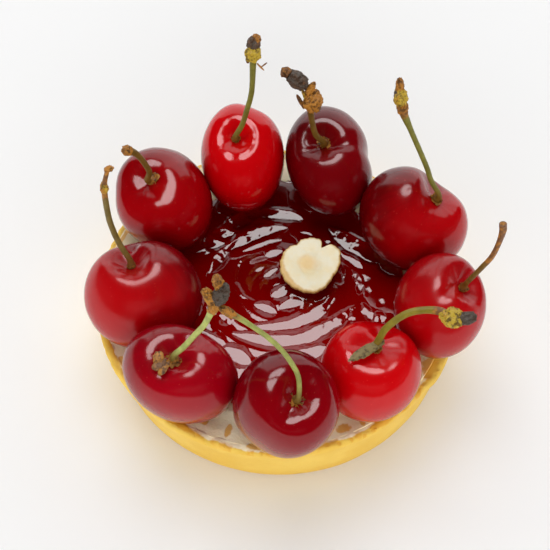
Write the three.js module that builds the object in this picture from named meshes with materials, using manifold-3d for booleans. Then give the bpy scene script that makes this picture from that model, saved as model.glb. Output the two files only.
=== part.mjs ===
// Small round cherry tart. A shortcrust shell holds vanilla cream, a swirl of cherry jelly lies on
// the cream with half a hazelnut pressed into it, and nine whole cherries with their stems stand
// round the rim. Millimetres, +Z up, the origin is the middle of the base and -Y is the front.
import * as THREE from 'three';
import { mergeVertices } from 'three/addons/utils/BufferGeometryUtils.js';
import Module from 'manifold-3d';

const wasm = await Module();
wasm.setup();

// Clearance between neighbouring pieces and the distance within which points are one point.
const GAP = 0.3;
const WELD = 0.001;

// Pastry shell
const SHELL_HEIGHT = 18;
const RIM_RADIUS = 43.3;
const FOOT_RADIUS = 38.6;
const HEEL_RADIUS = 40.8;
const FLOOR_THICKNESS = 4;
const INNER_FOOT_RADIUS = 36.4;
const INNER_RIM_RADIUS = 40.3;
const SHELL_SIDES = 58;
const HEEL_ROUNDING = 2.2;
const RIM_ROUNDING = 1.6;
const RIM_UNEVENNESS = 0.3;
const RIM_SAG = 0.9;
const CHIP_ANGLE = THREE.MathUtils.degToRad(-27);
const CHIP_HALF_WIDTH = 0.15;
const CHIP_DEPTH = 1.7;
const CHIP_FLARE = 0.7;

// Vanilla cream
const CREAM_EDGE_HEIGHT = 17.4;
const CREAM_BED_HEIGHT = 17;
const CREAM_BED_RADIUS = 32.9;
const CREAM_SIDES = 42;
const CREAM_UNEVENNESS = 0.2;

// Cherry jelly
const JELLY_RADIUS = 31;
const JELLY_EDGE_HEIGHT = 18;
const JELLY_RISE = 0.5;
const JELLY_SIDES = 46;
const JELLY_RINGS = 12;
const SWIRL_CENTRE = [-1, 1];
const SWIRL_RADIUS = 23;
const SWIRL_PITCH = 4.6;
const SWIRL_DEPTH = 0.3;

// Hazelnut half
const NUT_CENTRE = [7.4, 4.2, 23.6];
const NUT_RADIUS = 7.3;
const NUT_THICKNESS = 6;
const NUT_DIMPLE = 0.7;
const NUT_NOTCH_ANGLE = THREE.MathUtils.degToRad(52);
const NUT_LEAN = THREE.MathUtils.degToRad(5);
const NUT_SIDES = 26;

// Cherries. at is the middle, size is width, thickness and height along the core, lean is how far
// the core tips and towards which compass angle, turn is the compass angle of the wide way. full
// shapes the upper and the lower half, where 1 is round as a ball and less is fuller, and shoulder
// is how much wider the upper half is. hollow is the stem hollow's depth, radius and steepness, and
// how far it lies off the core along the wide and the thin way. seam is the angle, depth and width
// in radians of the shallow line down one side, and notches is how deep its near and far end cut
// into the shoulder.
const CHERRIES = [
  {
    at: [-8.9, 32.3, 28.7], size: [27.5, 20.5, 23], lean: [20, -110], turn: 90, full: [0.95, 0.7],
    shoulder: 0.05, hollow: [4, 4, 2.5, 2, 0.5], seam: [-20, 0.1, 0.45], notches: [1, 1],
  },
  {
    at: [12.6, 31, 28.3], size: [28, 21, 23.5], lean: [20, -135], turn: 100, full: [1, 0.7],
    shoulder: 0.1, hollow: [4, 4, 2, 1.5, -0.5], seam: [-95, 0.1, 0.25], notches: [1, 0.5],
  },
  {
    at: [32.5, 14.1, 28.9], size: [27, 23.5, 26], lean: [20, -15], turn: 145, full: [1.05, 0.85],
    shoulder: -0.05, hollow: [4, 5, 2.5, -1, -1], seam: [-80, 0.1, 0.75], notches: [3, 1.5],
  },
  {
    at: [37.3, -10.3, 29.2], size: [24.5, 20.5, 24], lean: [20, 15], turn: 90, full: [1.1, 0.8],
    shoulder: -0.05, hollow: [4, 4.5, 2.5, -1, -1.5], seam: [-45, 0, 0.25], notches: [0.5, 1.5],
  },
  {
    at: [20.6, -26.5, 26.7], size: [23, 22.5, 22], lean: [15, 60], turn: 20, full: [0.75, 0.75],
    shoulder: 0, hollow: [2.5, 5.5, 3, -1, -1], seam: [55, 0, 0.65], notches: [2.5, 1],
  },
  {
    at: [0.8, -37.5, 30.4], size: [22.5, 23.5, 26.5], lean: [20, -35], turn: 25, full: [0.8, 0.7],
    shoulder: 0.15, hollow: [3.5, 3.5, 2, -0.5, -1], seam: [-145, 0.1, 0.5], notches: [1.5, 0.5],
  },
  {
    at: [-22.2, -28.5, 28.2], size: [26.5, 20.5, 24], lean: [0, -100], turn: 160, full: [0.9, 0.7],
    shoulder: 0.1, hollow: [3.5, 4, 2, 0.5, 1], seam: [-105, 0.1, 0.5], notches: [1.5, 1],
  },
  {
    at: [-31.8, -6.6, 27.6], size: [27.5, 23, 24.5], lean: [30, 110], turn: 0, full: [0.8, 0.75],
    shoulder: -0.05, hollow: [3, 5.5, 1.5, -0.5, -3], seam: [100, 0, 0.5], notches: [1.5, 1],
  },
  {
    at: [-28.2, 19.9, 28.1], size: [26.5, 22.5, 25.5], lean: [35, -140], turn: 110, full: [0.85, 0.85],
    shoulder: 0, hollow: [4.5, 7, 1.5, 2, -2.5], seam: [60, 0.05, 0.4], notches: [1, 2],
  },
];
const CHERRY_SIDES = 18;
const CHERRY_RINGS = 14;
const RING_CROWDING = 1.3;
const LIP_DISTANCE = 1.2;
const LIP_WIDTH = 0.75;

// Stems. Each starts in its cherry's hollow and goes through the points given. The radius is that
// of the green stalk, and tip that of its far end. Lumps are the dried bud scales on the end.
const STEM_SIDES = 8;
const STEM_STEPS = 9;
const STEM_FOOT_RADIUS = 1.25;
const STEM_FOOT_LENGTH = 2.2;
const STEM_FOOT_LIFT = 0.75;
const STEM_NECK = 2.8;
const LUMP_ROUGHNESS = 0.12;
const STEMS = [
  {
    cherry: 1, radius: 0.7, tip: 0.75,
    points: [[-9, 31.9, 41.5], [-7.6, 32, 47.5], [-6.5, 32.9, 52.5], [-6, 35, 60]],
    lumps: [
      { from: [-6.1, 34.6, 58.8], to: [-6, 36.5, 63], width: 3.7 },
      { from: [-5.9, 36, 61.5], to: [-5.8, 37.6, 66], width: 3 },
      { from: [-5.8, 37, 64.5], to: [-5.5, 38, 67.8], width: 1.6 },
    ],
  },
  {
    cherry: 2, radius: 0.75, tip: 0.8,
    points: [[8.7, 29.3, 41.5], [7.8, 29.7, 45.5], [7.3, 30.1, 49.5]],
    lumps: [
      { from: [6.8, 29.8, 48.9], to: [7.9, 31.6, 54], width: 4.3 },
      { from: [5, 31.2, 51.8], to: [7.4, 32.4, 56.4], width: 2.4 },
      { from: [5, 31.6, 52.6], to: [4, 31.6, 56.6], width: 1.2 },
      { from: [6.6, 32.2, 54.8], to: [0.4, 34.2, 60], width: 4.5 },
    ],
  },
  {
    cherry: 3, radius: 0.65, tip: 1,
    points: [[35.3, 14.8, 42.5], [33.8, 15.6, 47], [30, 17.9, 56], [27.2, 19.6, 62.6]],
    lumps: [
      { from: [27.6, 19.2, 61.6], to: [26.7, 20.4, 65.6], width: 2.8 },
      { from: [26.8, 19.9, 64], to: [26.3, 21.4, 68.6], width: 3.2 },
      { from: [26.4, 21, 66.8], to: [26.2, 22.2, 70.6], width: 1.6 },
    ],
  },
  {
    cherry: 4, radius: 0.6, tip: 0.85,
    points: [[42.4, -11.3, 41], [44.2, -11.6, 46], [46.2, -11.4, 51], [47.3, -10.8, 59.5], [47.1, -10.4, 61.6]],
    lumps: [],
  },
  {
    cherry: 5, radius: 0.8, tip: 1,
    points: [[22, -24.8, 38.5], [23.2, -24.1, 41.5], [28, -22.3, 45], [33.7, -22.6, 46.5], [36, -24, 47]],
    lumps: [
      { from: [34.6, -23.6, 46.8], to: [39.2, -26, 47.2], width: 4.3 },
      { from: [38, -25.4, 47.2], to: [42, -25, 48.4], width: 2.6 },
      { from: [22.8, -24.8, 37.1], to: [15.3, -30.1, 38], width: 2.3, flat: 0.3 },
    ],
  },
  {
    cherry: 6, radius: 0.55, tip: 0.75,
    points: [[4, -38.4, 44.5], [2.8, -37.3, 48.5], [-0.7, -34.8, 53], [-6.7, -32.5, 58], [-11.6, -30.9, 60.9]],
    lumps: [],
  },
  {
    cherry: 7, radius: 0.7, tip: 0.8,
    points: [[-20.9, -29, 41.5], [-18.2, -29.2, 47], [-15.8, -30.1, 53], [-13.8, -30.3, 59.6]],
    lumps: [
      { from: [-14.2, -30.6, 58.4], to: [-12.9, -29.5, 62.8], width: 2.6 },
      { from: [-13.4, -29.8, 60.8], to: [-15.2, -28.8, 64.6], width: 2.4 },
      { from: [-13.2, -29.8, 61], to: [-10.9, -28.6, 66.4], width: 3.2 },
      { from: [-12, -29, 64.6], to: [-12.8, -26.8, 67.6], width: 2.2 },
    ],
  },
  {
    cherry: 8, radius: 0.7, tip: 0.5,
    points: [[-35.7, -2.9, 41.5], [-37, -2.5, 47.5], [-37.6, -2, 52.5], [-37.8, 0.2, 60.6], [-36.9, 1.4, 64.4]],
    lumps: [
      { from: [-37.8, -0.6, 58.9], to: [-37.9, 0.5, 61.6], width: 1.7 },
      { from: [-37.6, 1.9, 63.8], to: [-35.5, 1.5, 65.6], width: 1.5 },
    ],
  },
  {
    cherry: 9, radius: 0.75, tip: 0.85,
    points: [[-30.5, 18.8, 40.5], [-31.7, 19.1, 44.5], [-33.1, 19, 47.5], [-34.2, 18.6, 49.1]],
    lumps: [{ from: [-33.8, 18.8, 48.4], to: [-35.9, 18.1, 50.4], width: 2.4 }],
  },
];

const CRUST = { color: 0xf2cc66, roughness: 0.75 };
const CREAM = { color: 0xe6cfae, roughness: 0.55 };
const JELLY = { color: 0x6e0406, roughness: 0.08 };
const NUT = { color: 0xfaf0d0, roughness: 0.6 };
const RED_SKIN = { color: 0xb5040a, roughness: 0.15 };
const DARK_SKIN = { color: 0x7c0410, roughness: 0.15 };
const STALK = { color: 0x74762c, roughness: 0.6 };
const BRIGHT_CHERRIES = [1, 4, 5, 8];

// A smooth wave round the tart, between about -1 and 1.
function ripple(angle, shift) {
  return 0.5 * Math.sin(3 * angle + shift) + 0.3 * Math.sin(7 * angle + 2 * shift)
    + 0.2 * Math.sin(13 * angle + 3 * shift);
}

// A bell of height 1 that fades with the distance from the middle.
function bell(distance, width, power = 2) {
  return Math.exp(-((Math.abs(distance) / width) ** power));
}

// The smallest difference between two angles, with its sign.
function angleBetween(angle, middle) {
  return Math.atan2(Math.sin(angle - middle), Math.cos(angle - middle));
}

// Moves every point of a geometry with a function of the point.
function reshape(geometry, move) {
  const position = geometry.attributes.position;
  const point = new THREE.Vector3();
  for (let i = 0; i < position.count; i += 1) {
    point.fromBufferAttribute(position, i);
    move(point);
    position.setXYZ(i, point.x, point.y, point.z);
  }
  return geometry;
}

// Turns an outline of radius and height pairs round the upright axis.
function turned(outline, sides) {
  const points = outline.map(([radius, height]) => new THREE.Vector2(radius, height));
  return new THREE.LatheGeometry(points, sides).rotateX(Math.PI / 2);
}

// Makes a closed solid of a geometry, leaving out the flat triangles at its poles.
function solidOf(geometry) {
  const bare = geometry.clone();
  bare.deleteAttribute('normal');
  bare.deleteAttribute('uv');
  const merged = mergeVertices(bare, WELD);
  const index = merged.index.array;
  const kept = [];
  for (let i = 0; i < index.length; i += 3) {
    const [a, b, c] = index.subarray(i, i + 3);
    if (a !== b && b !== c && c !== a) kept.push(a, b, c);
  }
  return new wasm.Manifold(new wasm.Mesh({
    numProp: 3,
    vertProperties: new Float32Array(merged.attributes.position.array),
    triVerts: new Uint32Array(kept),
  }));
}

// Gives a solid back as a named mesh with its own material.
function pieceOf(name, solid, finish) {
  const { vertProperties, triVerts } = solid.getMesh();
  const geometry = new THREE.BufferGeometry();
  geometry.setAttribute('position', new THREE.BufferAttribute(vertProperties, 3));
  geometry.setIndex(new THREE.BufferAttribute(triVerts, 1));
  geometry.computeVertexNormals();
  const mesh = new THREE.Mesh(geometry, new THREE.MeshStandardMaterial({ ...finish, metalness: 0 }));
  mesh.name = name;
  return mesh;
}

function joined(solids) {
  return solids.reduce((whole, next) => whole.add(next));
}

function cutBy(solid, tools) {
  return tools.reduce((rest, tool) => rest.subtract(tool), solid);
}

// The left side of the shell has sagged outwards, more towards the rim, and its filling with it.
function sag(point) {
  point.x -= RIM_SAG * (point.z / SHELL_HEIGHT) ** 2;
}

// Shortcrust shell: a shallow cup with a rounded heel, a slightly wavy rim and one chipped place.
function makeShell() {
  const outline = [
    [0, 0], [FOOT_RADIUS, 0], [HEEL_RADIUS - 0.5, 0.4 * HEEL_ROUNDING], [HEEL_RADIUS, HEEL_ROUNDING],
    [RIM_RADIUS - 0.9, 0.65 * SHELL_HEIGHT], [RIM_RADIUS, SHELL_HEIGHT - RIM_ROUNDING],
    [RIM_RADIUS - 0.5, SHELL_HEIGHT - 0.25 * RIM_ROUNDING], [RIM_RADIUS - 1.4, SHELL_HEIGHT],
    [INNER_RIM_RADIUS + 0.3, SHELL_HEIGHT - 0.2 * RIM_ROUNDING],
    [INNER_RIM_RADIUS, SHELL_HEIGHT - 0.6 * RIM_ROUNDING],
    [INNER_FOOT_RADIUS + 0.9, FLOOR_THICKNESS + 0.8], [INNER_FOOT_RADIUS, FLOOR_THICKNESS],
    [0, FLOOR_THICKNESS],
  ];
  return reshape(turned(outline, SHELL_SIDES), (point) => {
    const radius = Math.hypot(point.x, point.y);
    const angle = Math.atan2(point.y, point.x);
    const high = THREE.MathUtils.smoothstep(point.z, SHELL_HEIGHT - 6, SHELL_HEIGHT - 0.8);
    const chip = high * bell(angleBetween(angle, CHIP_ANGLE), CHIP_HALF_WIDTH, 4);
    point.z += high * RIM_UNEVENNESS * ripple(angle, 1.7) - chip * CHIP_DEPTH;
    if (radius > INNER_RIM_RADIUS + 1) {
      const stretch = 1 + (chip * CHIP_FLARE) / RIM_RADIUS;
      point.x *= stretch;
      point.y *= stretch;
    }
    sag(point);
  });
}

// Vanilla cream: fills the shell to just under the rim, with a flat bed for the jelly.
function makeCream() {
  const outline = [
    [0, FLOOR_THICKNESS], [INNER_FOOT_RADIUS - 0.4, FLOOR_THICKNESS],
    [INNER_FOOT_RADIUS + 0.4, FLOOR_THICKNESS + 1.2],
    [INNER_RIM_RADIUS - 0.6, CREAM_EDGE_HEIGHT - 0.8], [INNER_RIM_RADIUS - 0.9, CREAM_EDGE_HEIGHT],
    [INNER_RIM_RADIUS - 2.4, CREAM_EDGE_HEIGHT], [INNER_RIM_RADIUS - 4.8, CREAM_EDGE_HEIGHT],
    [CREAM_BED_RADIUS + 0.6, CREAM_EDGE_HEIGHT], [CREAM_BED_RADIUS, CREAM_BED_HEIGHT],
    [0, CREAM_BED_HEIGHT],
  ];
  return reshape(turned(outline, CREAM_SIDES), (point) => {
    const radius = Math.hypot(point.x, point.y);
    const angle = Math.atan2(point.y, point.x);
    if (point.z > CREAM_BED_HEIGHT + 0.1 && radius < INNER_RIM_RADIUS - 0.8) {
      point.z += CREAM_UNEVENNESS * ripple(angle, radius / 3);
    }
    sag(point);
  });
}

// Height of the swirl above the jelly's plain top. One ridge winds outwards from the centre, as a
// palette knife leaves it, steep on its outer side, and fades into the flat edge.
function swirlHeight(x, y) {
  const dx = x - SWIRL_CENTRE[0];
  const dy = y - SWIRL_CENTRE[1];
  const radius = Math.hypot(dx, dy);
  const wobble = 0.35 * Math.sin(2 * Math.atan2(dy, dx) + 0.8);
  const turns = (radius + wobble) / SWIRL_PITCH - Math.atan2(dy, dx) / (2 * Math.PI);
  const along = turns - Math.floor(turns);
  const ridge = along < 0.7 ? along / 0.7 : (1 - along) / 0.3;
  const smooth = ridge * ridge * (3 - 2 * ridge);
  const fade = THREE.MathUtils.smoothstep(radius, 1, 5)
    * (1 - THREE.MathUtils.smoothstep(radius, SWIRL_RADIUS - 5, SWIRL_RADIUS));
  return SWIRL_DEPTH * fade * (2 * smooth - 1);
}

// Cherry jelly: a low mound with the swirl on top, reaching out between the cherries.
function makeJelly() {
  const outline = [[0, CREAM_BED_HEIGHT], [JELLY_RADIUS - 0.4, CREAM_BED_HEIGHT]];
  outline.push([JELLY_RADIUS, CREAM_BED_HEIGHT + 0.4]);
  for (let ring = 0; ring <= JELLY_RINGS; ring += 1) {
    const inward = ring / JELLY_RINGS;
    const radius = (JELLY_RADIUS - 0.5) * (1 - inward);
    const rise = JELLY_RISE * THREE.MathUtils.smoothstep(inward, 0, 0.35);
    outline.push([radius, JELLY_EDGE_HEIGHT - (ring === 0 ? 0.3 : 0) + rise]);
  }
  return reshape(turned(outline, JELLY_SIDES), (point) => {
    const radius = Math.hypot(point.x, point.y);
    const angle = Math.atan2(point.y, point.x);
    const edge = THREE.MathUtils.smoothstep(radius, JELLY_RADIUS * 0.8, JELLY_RADIUS);
    const stretch = 1 + 0.035 * edge * ripple(angle, 0.4);
    if (point.z > CREAM_BED_HEIGHT + 0.5) point.z += swirlHeight(point.x, point.y);
    point.x *= stretch;
    point.y *= stretch;
    sag(point);
  });
}

// How far the nut's rim stands from its middle, with the split where the two halves of the kernel
// met and a small lobe beside it.
function nutRim(angle) {
  const split = 0.27 * bell(angleBetween(angle, NUT_NOTCH_ANGLE), 0.17);
  const lobe = 0.09 * bell(angleBetween(angle, NUT_NOTCH_ANGLE - 0.5), 0.28);
  return 1 - split + lobe + 0.02 * Math.sin(5 * angle + 1);
}

// Half a hazelnut, cut face up, with a shallow dimple in the face.
function makeNut(grow) {
  const outline = [
    [0, -NUT_THICKNESS], [2.9, -NUT_THICKNESS + 0.6], [5.3, -4], [6.8, -1.9], [NUT_RADIUS, -0.4],
    [NUT_RADIUS - 0.4, 0], [4.4, -0.05], [2.4, -NUT_DIMPLE * 0.6], [0, -NUT_DIMPLE],
  ];
  const nut = reshape(turned(outline, NUT_SIDES), (point) => {
    const outward = Math.hypot(point.x, point.y) / NUT_RADIUS;
    const rim = 1 + (nutRim(Math.atan2(point.y, point.x)) - 1) * THREE.MathUtils.smoothstep(outward, 0.2, 0.9);
    point.x *= rim;
    point.y *= rim;
  });
  nut.scale(1 + grow / NUT_RADIUS, 1 + grow / NUT_RADIUS, 1 + grow / NUT_THICKNESS);
  nut.rotateY(-NUT_LEAN).rotateX(NUT_LEAN);
  return nut.translate(...NUT_CENTRE);
}

// The turned and tipped frame of a cherry: its wide way, its thin way and its core.
function cherryFrame({ at, lean, turn }) {
  const [tip, towards] = lean.map(THREE.MathUtils.degToRad);
  const hinge = new THREE.Vector3(-Math.sin(towards), Math.cos(towards), 0);
  const tilt = new THREE.Matrix4().makeRotationAxis(hinge, tip);
  const spin = new THREE.Matrix4().makeRotationZ(THREE.MathUtils.degToRad(turn));
  return tilt.multiply(spin).setPosition(...at);
}

// A cherry: a full round fruit, wider than it is thick, with a hollow for the stem and a seam down
// one side that notches the shoulder.
function makeCherry({ at, size, lean, turn, full, shoulder, hollow, seam, notches }, grow) {
  const [width, thickness, height] = size;
  const [hollowDepth, hollowRadius, steepness, hollowX, hollowY] = hollow;
  const [seamAt, seamDepth, seamWidth] = seam;
  const geometry = reshape(new THREE.SphereGeometry(1, CHERRY_SIDES, CHERRY_RINGS), (point) => {
    const even = Math.acos(THREE.MathUtils.clamp(point.y, -1, 1)) / Math.PI;
    const down = Math.PI * even ** RING_CROWDING;
    const round = Math.atan2(point.z, -point.x);
    const nearSeam = bell(angleBetween(round, THREE.MathUtils.degToRad(seamAt)), seamWidth);
    const farSeam = bell(angleBetween(round, THREE.MathUtils.degToRad(seamAt + 180)), seamWidth);
    const upper = THREE.MathUtils.smoothstep(Math.cos(down), -0.25, 0.25);
    const fullness = THREE.MathUtils.lerp(full[1], full[0], upper);
    const swell = (Math.sin(down) ** fullness) * (1 + shoulder * Math.cos(down));
    const side = swell * (1 - seamDepth * nearSeam * Math.sin(down) ** 2);
    const x = (width / 2 + grow) * side * Math.cos(round);
    const y = (thickness / 2 + grow) * side * Math.sin(round);
    let z = (height / 2 + grow) * Math.cos(down);
    if (z > 0) {
      const radius = Math.hypot(x - hollowX, y - hollowY);
      const lip = bell(radius - LIP_DISTANCE * hollowRadius, LIP_WIDTH * hollowRadius);
      z -= hollowDepth * bell(radius, hollowRadius, steepness);
      z -= (notches[0] * nearSeam + notches[1] * farSeam) * Math.sin(down) ** 0.3 * lip;
    }
    point.set(x, y, z);
  });
  return geometry.applyMatrix4(cherryFrame({ at, lean, turn }));
}

// The first two points of a stem: a little above the bottom of its cherry's hollow, and further out
// along the core.
function stemStart(cherry) {
  const [width, thickness, height] = cherry.size;
  const [hollowDepth, , , x, y] = cherry.hollow;
  const out = Math.hypot((2 * x) / width, (2 * y) / thickness);
  const foot = 0.5 * height * Math.sqrt(1 - out * out) - hollowDepth + STEM_FOOT_LIFT;
  const frame = cherryFrame(cherry);
  return [foot, foot + STEM_NECK].map((z) => new THREE.Vector3(x, y, z).applyMatrix4(frame));
}

// A round stalk along a curve, with a radius for every part of its length.
function makeStalk(curve, radiusAt) {
  const frames = curve.computeFrenetFrames(STEM_STEPS, false);
  const stalk = new THREE.CylinderGeometry(1, 1, 1, STEM_SIDES, STEM_STEPS);
  return reshape(stalk, (point) => {
    const along = point.y + 0.5;
    const step = Math.round(along * STEM_STEPS);
    const radius = radiusAt(along);
    const middle = curve.getPointAt(along);
    middle.addScaledVector(frames.normals[step], point.z * radius);
    middle.addScaledVector(frames.binormals[step], point.x * radius);
    point.copy(middle);
  });
}

// One dried scale or bud: an uneven egg between two points, or a flat leaf where flat is under 1.
function makeLump({ from, to, width, flat = 1 }) {
  const start = new THREE.Vector3(...from);
  const end = new THREE.Vector3(...to);
  const along = end.clone().sub(start);
  const half = new THREE.Vector3(width / 2, along.length() / 2, (flat * width) / 2);
  const lump = reshape(new THREE.IcosahedronGeometry(1, 1), (point) => {
    const rough = 1 + LUMP_ROUGHNESS * Math.sin(5 * point.x + 3 * point.y + 7 * point.z + start.x);
    point.multiplyScalar(rough).multiply(half);
  });
  along.normalize();
  const side = new THREE.Vector3(along.y, -along.x, 0).normalize();
  const frame = new THREE.Matrix4().makeBasis(side, along, side.clone().cross(along));
  return lump.applyMatrix4(frame).translate(...start.add(end).multiplyScalar(0.5));
}

// A stem with its flared foot and the dried bud scales on its end.
function makeStem({ cherry, radius, tip, points, lumps }) {
  const start = stemStart(CHERRIES[cherry - 1]);
  const curve = new THREE.CatmullRomCurve3([...start, ...points.map((point) => new THREE.Vector3(...point))]);
  const length = curve.getLength();
  const stalk = makeStalk(curve, (along) => {
    const flare = (STEM_FOOT_RADIUS - radius) * bell(along * length, STEM_FOOT_LENGTH);
    return radius + flare + (tip - radius) * THREE.MathUtils.smoothstep(along, 0.75, 1);
  });
  return joined([stalk, ...lumps.map(makeLump)].map(solidOf));
}

const tart = new THREE.Group();
tart.name = 'cherry_tart';

const cherryPockets = CHERRIES.map((cherry) => solidOf(makeCherry(cherry, GAP)));
const nutPocket = solidOf(makeNut(GAP));

tart.add(pieceOf('pastry_shell', cutBy(solidOf(makeShell()), cherryPockets), CRUST));
tart.add(pieceOf('vanilla_cream', cutBy(solidOf(makeCream()), cherryPockets), CREAM));
tart.add(pieceOf('cherry_jelly', cutBy(solidOf(makeJelly()), [...cherryPockets, nutPocket]), JELLY));
tart.add(pieceOf('hazelnut_half', solidOf(makeNut(0)), NUT));

CHERRIES.forEach((cherry, i) => {
  const skin = BRIGHT_CHERRIES.includes(i + 1) ? RED_SKIN : DARK_SKIN;
  tart.add(pieceOf(`cherry_${i + 1}`, solidOf(makeCherry(cherry, 0)), skin));
});

STEMS.forEach((stem) => {
  tart.add(pieceOf(`stem_${stem.cherry}`, makeStem(stem), STALK));
});

export default tart;
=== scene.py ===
"""The looks of a small round cherry tart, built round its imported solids.

Nine whole cherries stand on a shortcrust shell filled with vanilla cream. A swirl of cherry jelly
lies between them, with half a hazelnut pressed into it. Lengths in the lists below are millimetres,
sizes in the property groups are metres, angles in the lists are degrees.
"""

import math
from types import SimpleNamespace
from typing import NamedTuple

import bmesh
import bpy
import numpy as np
from mathutils import Matrix, Vector, noise


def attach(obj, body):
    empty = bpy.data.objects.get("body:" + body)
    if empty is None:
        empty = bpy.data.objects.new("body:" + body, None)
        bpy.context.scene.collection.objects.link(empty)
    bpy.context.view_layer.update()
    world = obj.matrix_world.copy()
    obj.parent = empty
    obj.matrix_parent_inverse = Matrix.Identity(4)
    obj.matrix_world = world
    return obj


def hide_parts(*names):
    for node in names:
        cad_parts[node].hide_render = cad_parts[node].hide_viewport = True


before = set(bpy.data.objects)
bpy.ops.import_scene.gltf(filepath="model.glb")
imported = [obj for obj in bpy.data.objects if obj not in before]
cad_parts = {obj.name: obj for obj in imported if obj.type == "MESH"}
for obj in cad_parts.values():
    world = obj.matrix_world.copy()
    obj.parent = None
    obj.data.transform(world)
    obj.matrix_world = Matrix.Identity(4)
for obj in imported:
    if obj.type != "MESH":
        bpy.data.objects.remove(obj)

bl_info = {
    "name": "Cherry Tart",
    "version": (1, 0, 0),
    "blender": (4, 5, 0),
    "location": "View3D > Sidebar > Tart",
    "description": "Makes the crust, cream, jelly, nut, cherries and stalks of a small cherry tart",
    "category": "Object",
}

BODY = "root"
MM = 0.001

CRUST_SIDES = 420
CREAM_SIDES = 300
JELLY_SIDES = 520
JELLY_STEP = 0.30 * MM
NUT_SIDES = 160
COLLAR_SIDES = 64
STALK_POINTS = 70
SPLINE_STEPS = 24
AXIS_RADIUS = 1e-7
LEAST_WIDTH = 0.00001
SEED_STEP = 0.37

CHIP_ANGLE = math.radians(-27)
CHIP_HALF_WIDTH = 0.15
CHIP_DEPTH = 1.7 * MM
CHIP_FLARE = 0.7 * MM
BROKEN_ANGLE = math.radians(-36)
BROKEN_HALF_WIDTH = 0.3
RIM_WAVE = 0.3 * MM
CRUMB_ZONE = 2.2 * MM
SEAT_GAP = 0.08 * MM
JELLY_GAP = 0.05 * MM
SWIRL_CENTRE = (-1 * MM, 1 * MM)
BACK_GAP_ANGLE = math.radians(88)

NUT_CENTRE = Vector((7.4, 4.2, 23.6)) * MM
NUT_DIMPLE = 0.7 * MM
NUT_HEART = (-1.0 * MM, 0.6 * MM)
NUT_LEAN = math.radians(5)
NUT_SKIN_ANGLE = math.radians(-150)
# Height, angle and width of the split, the lobe, the two dents and the bulge.
NUT_FEATURES = (
    (-0.26, 57, 0.13), (0.10, 28, 0.26), (-0.11, 121, 0.20), (-0.12, -32, 0.42), (0.05, -83, 0.35),
)

SCAR = (0.12, 0.03, 0.01)
FOOT_RADIUS = 1.05 * MM
FOOT_LENGTH = 1.2 * MM
NECK = 1.9 * MM
WIDE_LUMP = 1.5
COLLAR_TONE = 0.5
# Parts of the collar's reach and heights in millimetres.
COLLAR_OUTLINE = (
    (0, -0.6), (0.5, -0.4), (0.85, 0.1), (1.05, 0.55), (1.0, 0.68), (0.8, 0.4), (0.6, 0.3), (0.5, 0.6),
    (0.4, 1.1), (0, 1.3),
)

FLOOR_HALF = 4.0
LIT = Vector((0, 0, 0.03))
KEY_PLACE = LIT + Vector((-0.0875, 0.2586, 1)).normalized() * 0.8
FILL_SIZE = (0.8, 0.3)
GLOSS_ROOM = 0.004
FAR_TONE = 0.93
CAMERA_AIM = Vector((-1, 4.6, 18)) * MM


class Cherry(NamedTuple):
    """One fruit: its place and size, how it lies, its form, its two reds, and how dark and glossy it is.

    The fields mean what they mean in the source. The two reds are its own red with painted light on its lit
    side and painted shade on its far side, the direction after them is where the lit side faces, and foot is
    how much of its colour is left under the painted shade at the foot.
    """

    at: tuple
    size: tuple
    lean: tuple
    turn: float
    full: tuple
    shoulder: float
    hollow: tuple
    seam: tuple
    notches: tuple
    skin: tuple
    shade: tuple
    bright_side: tuple
    foot: float
    roughness: float


class Lump(NamedTuple):
    """A dried scale between two points: tone -1 is olive, 0 grey, 0.4 brown, 0.6 orange and 1 yellow."""

    start: tuple
    end: tuple
    width: float
    tone: float
    flat: float = 1.0


class Stem(NamedTuple):
    """A stalk from its cherry's hollow through some points, with its buds, green, dry end and collar."""

    radius: float
    tip: float
    points: tuple
    lumps: tuple
    tint: tuple
    dry_from: float
    collar: float


# Each cherry's two reds, lit-side direction and foot value paint light and shade into its skin.
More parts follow.
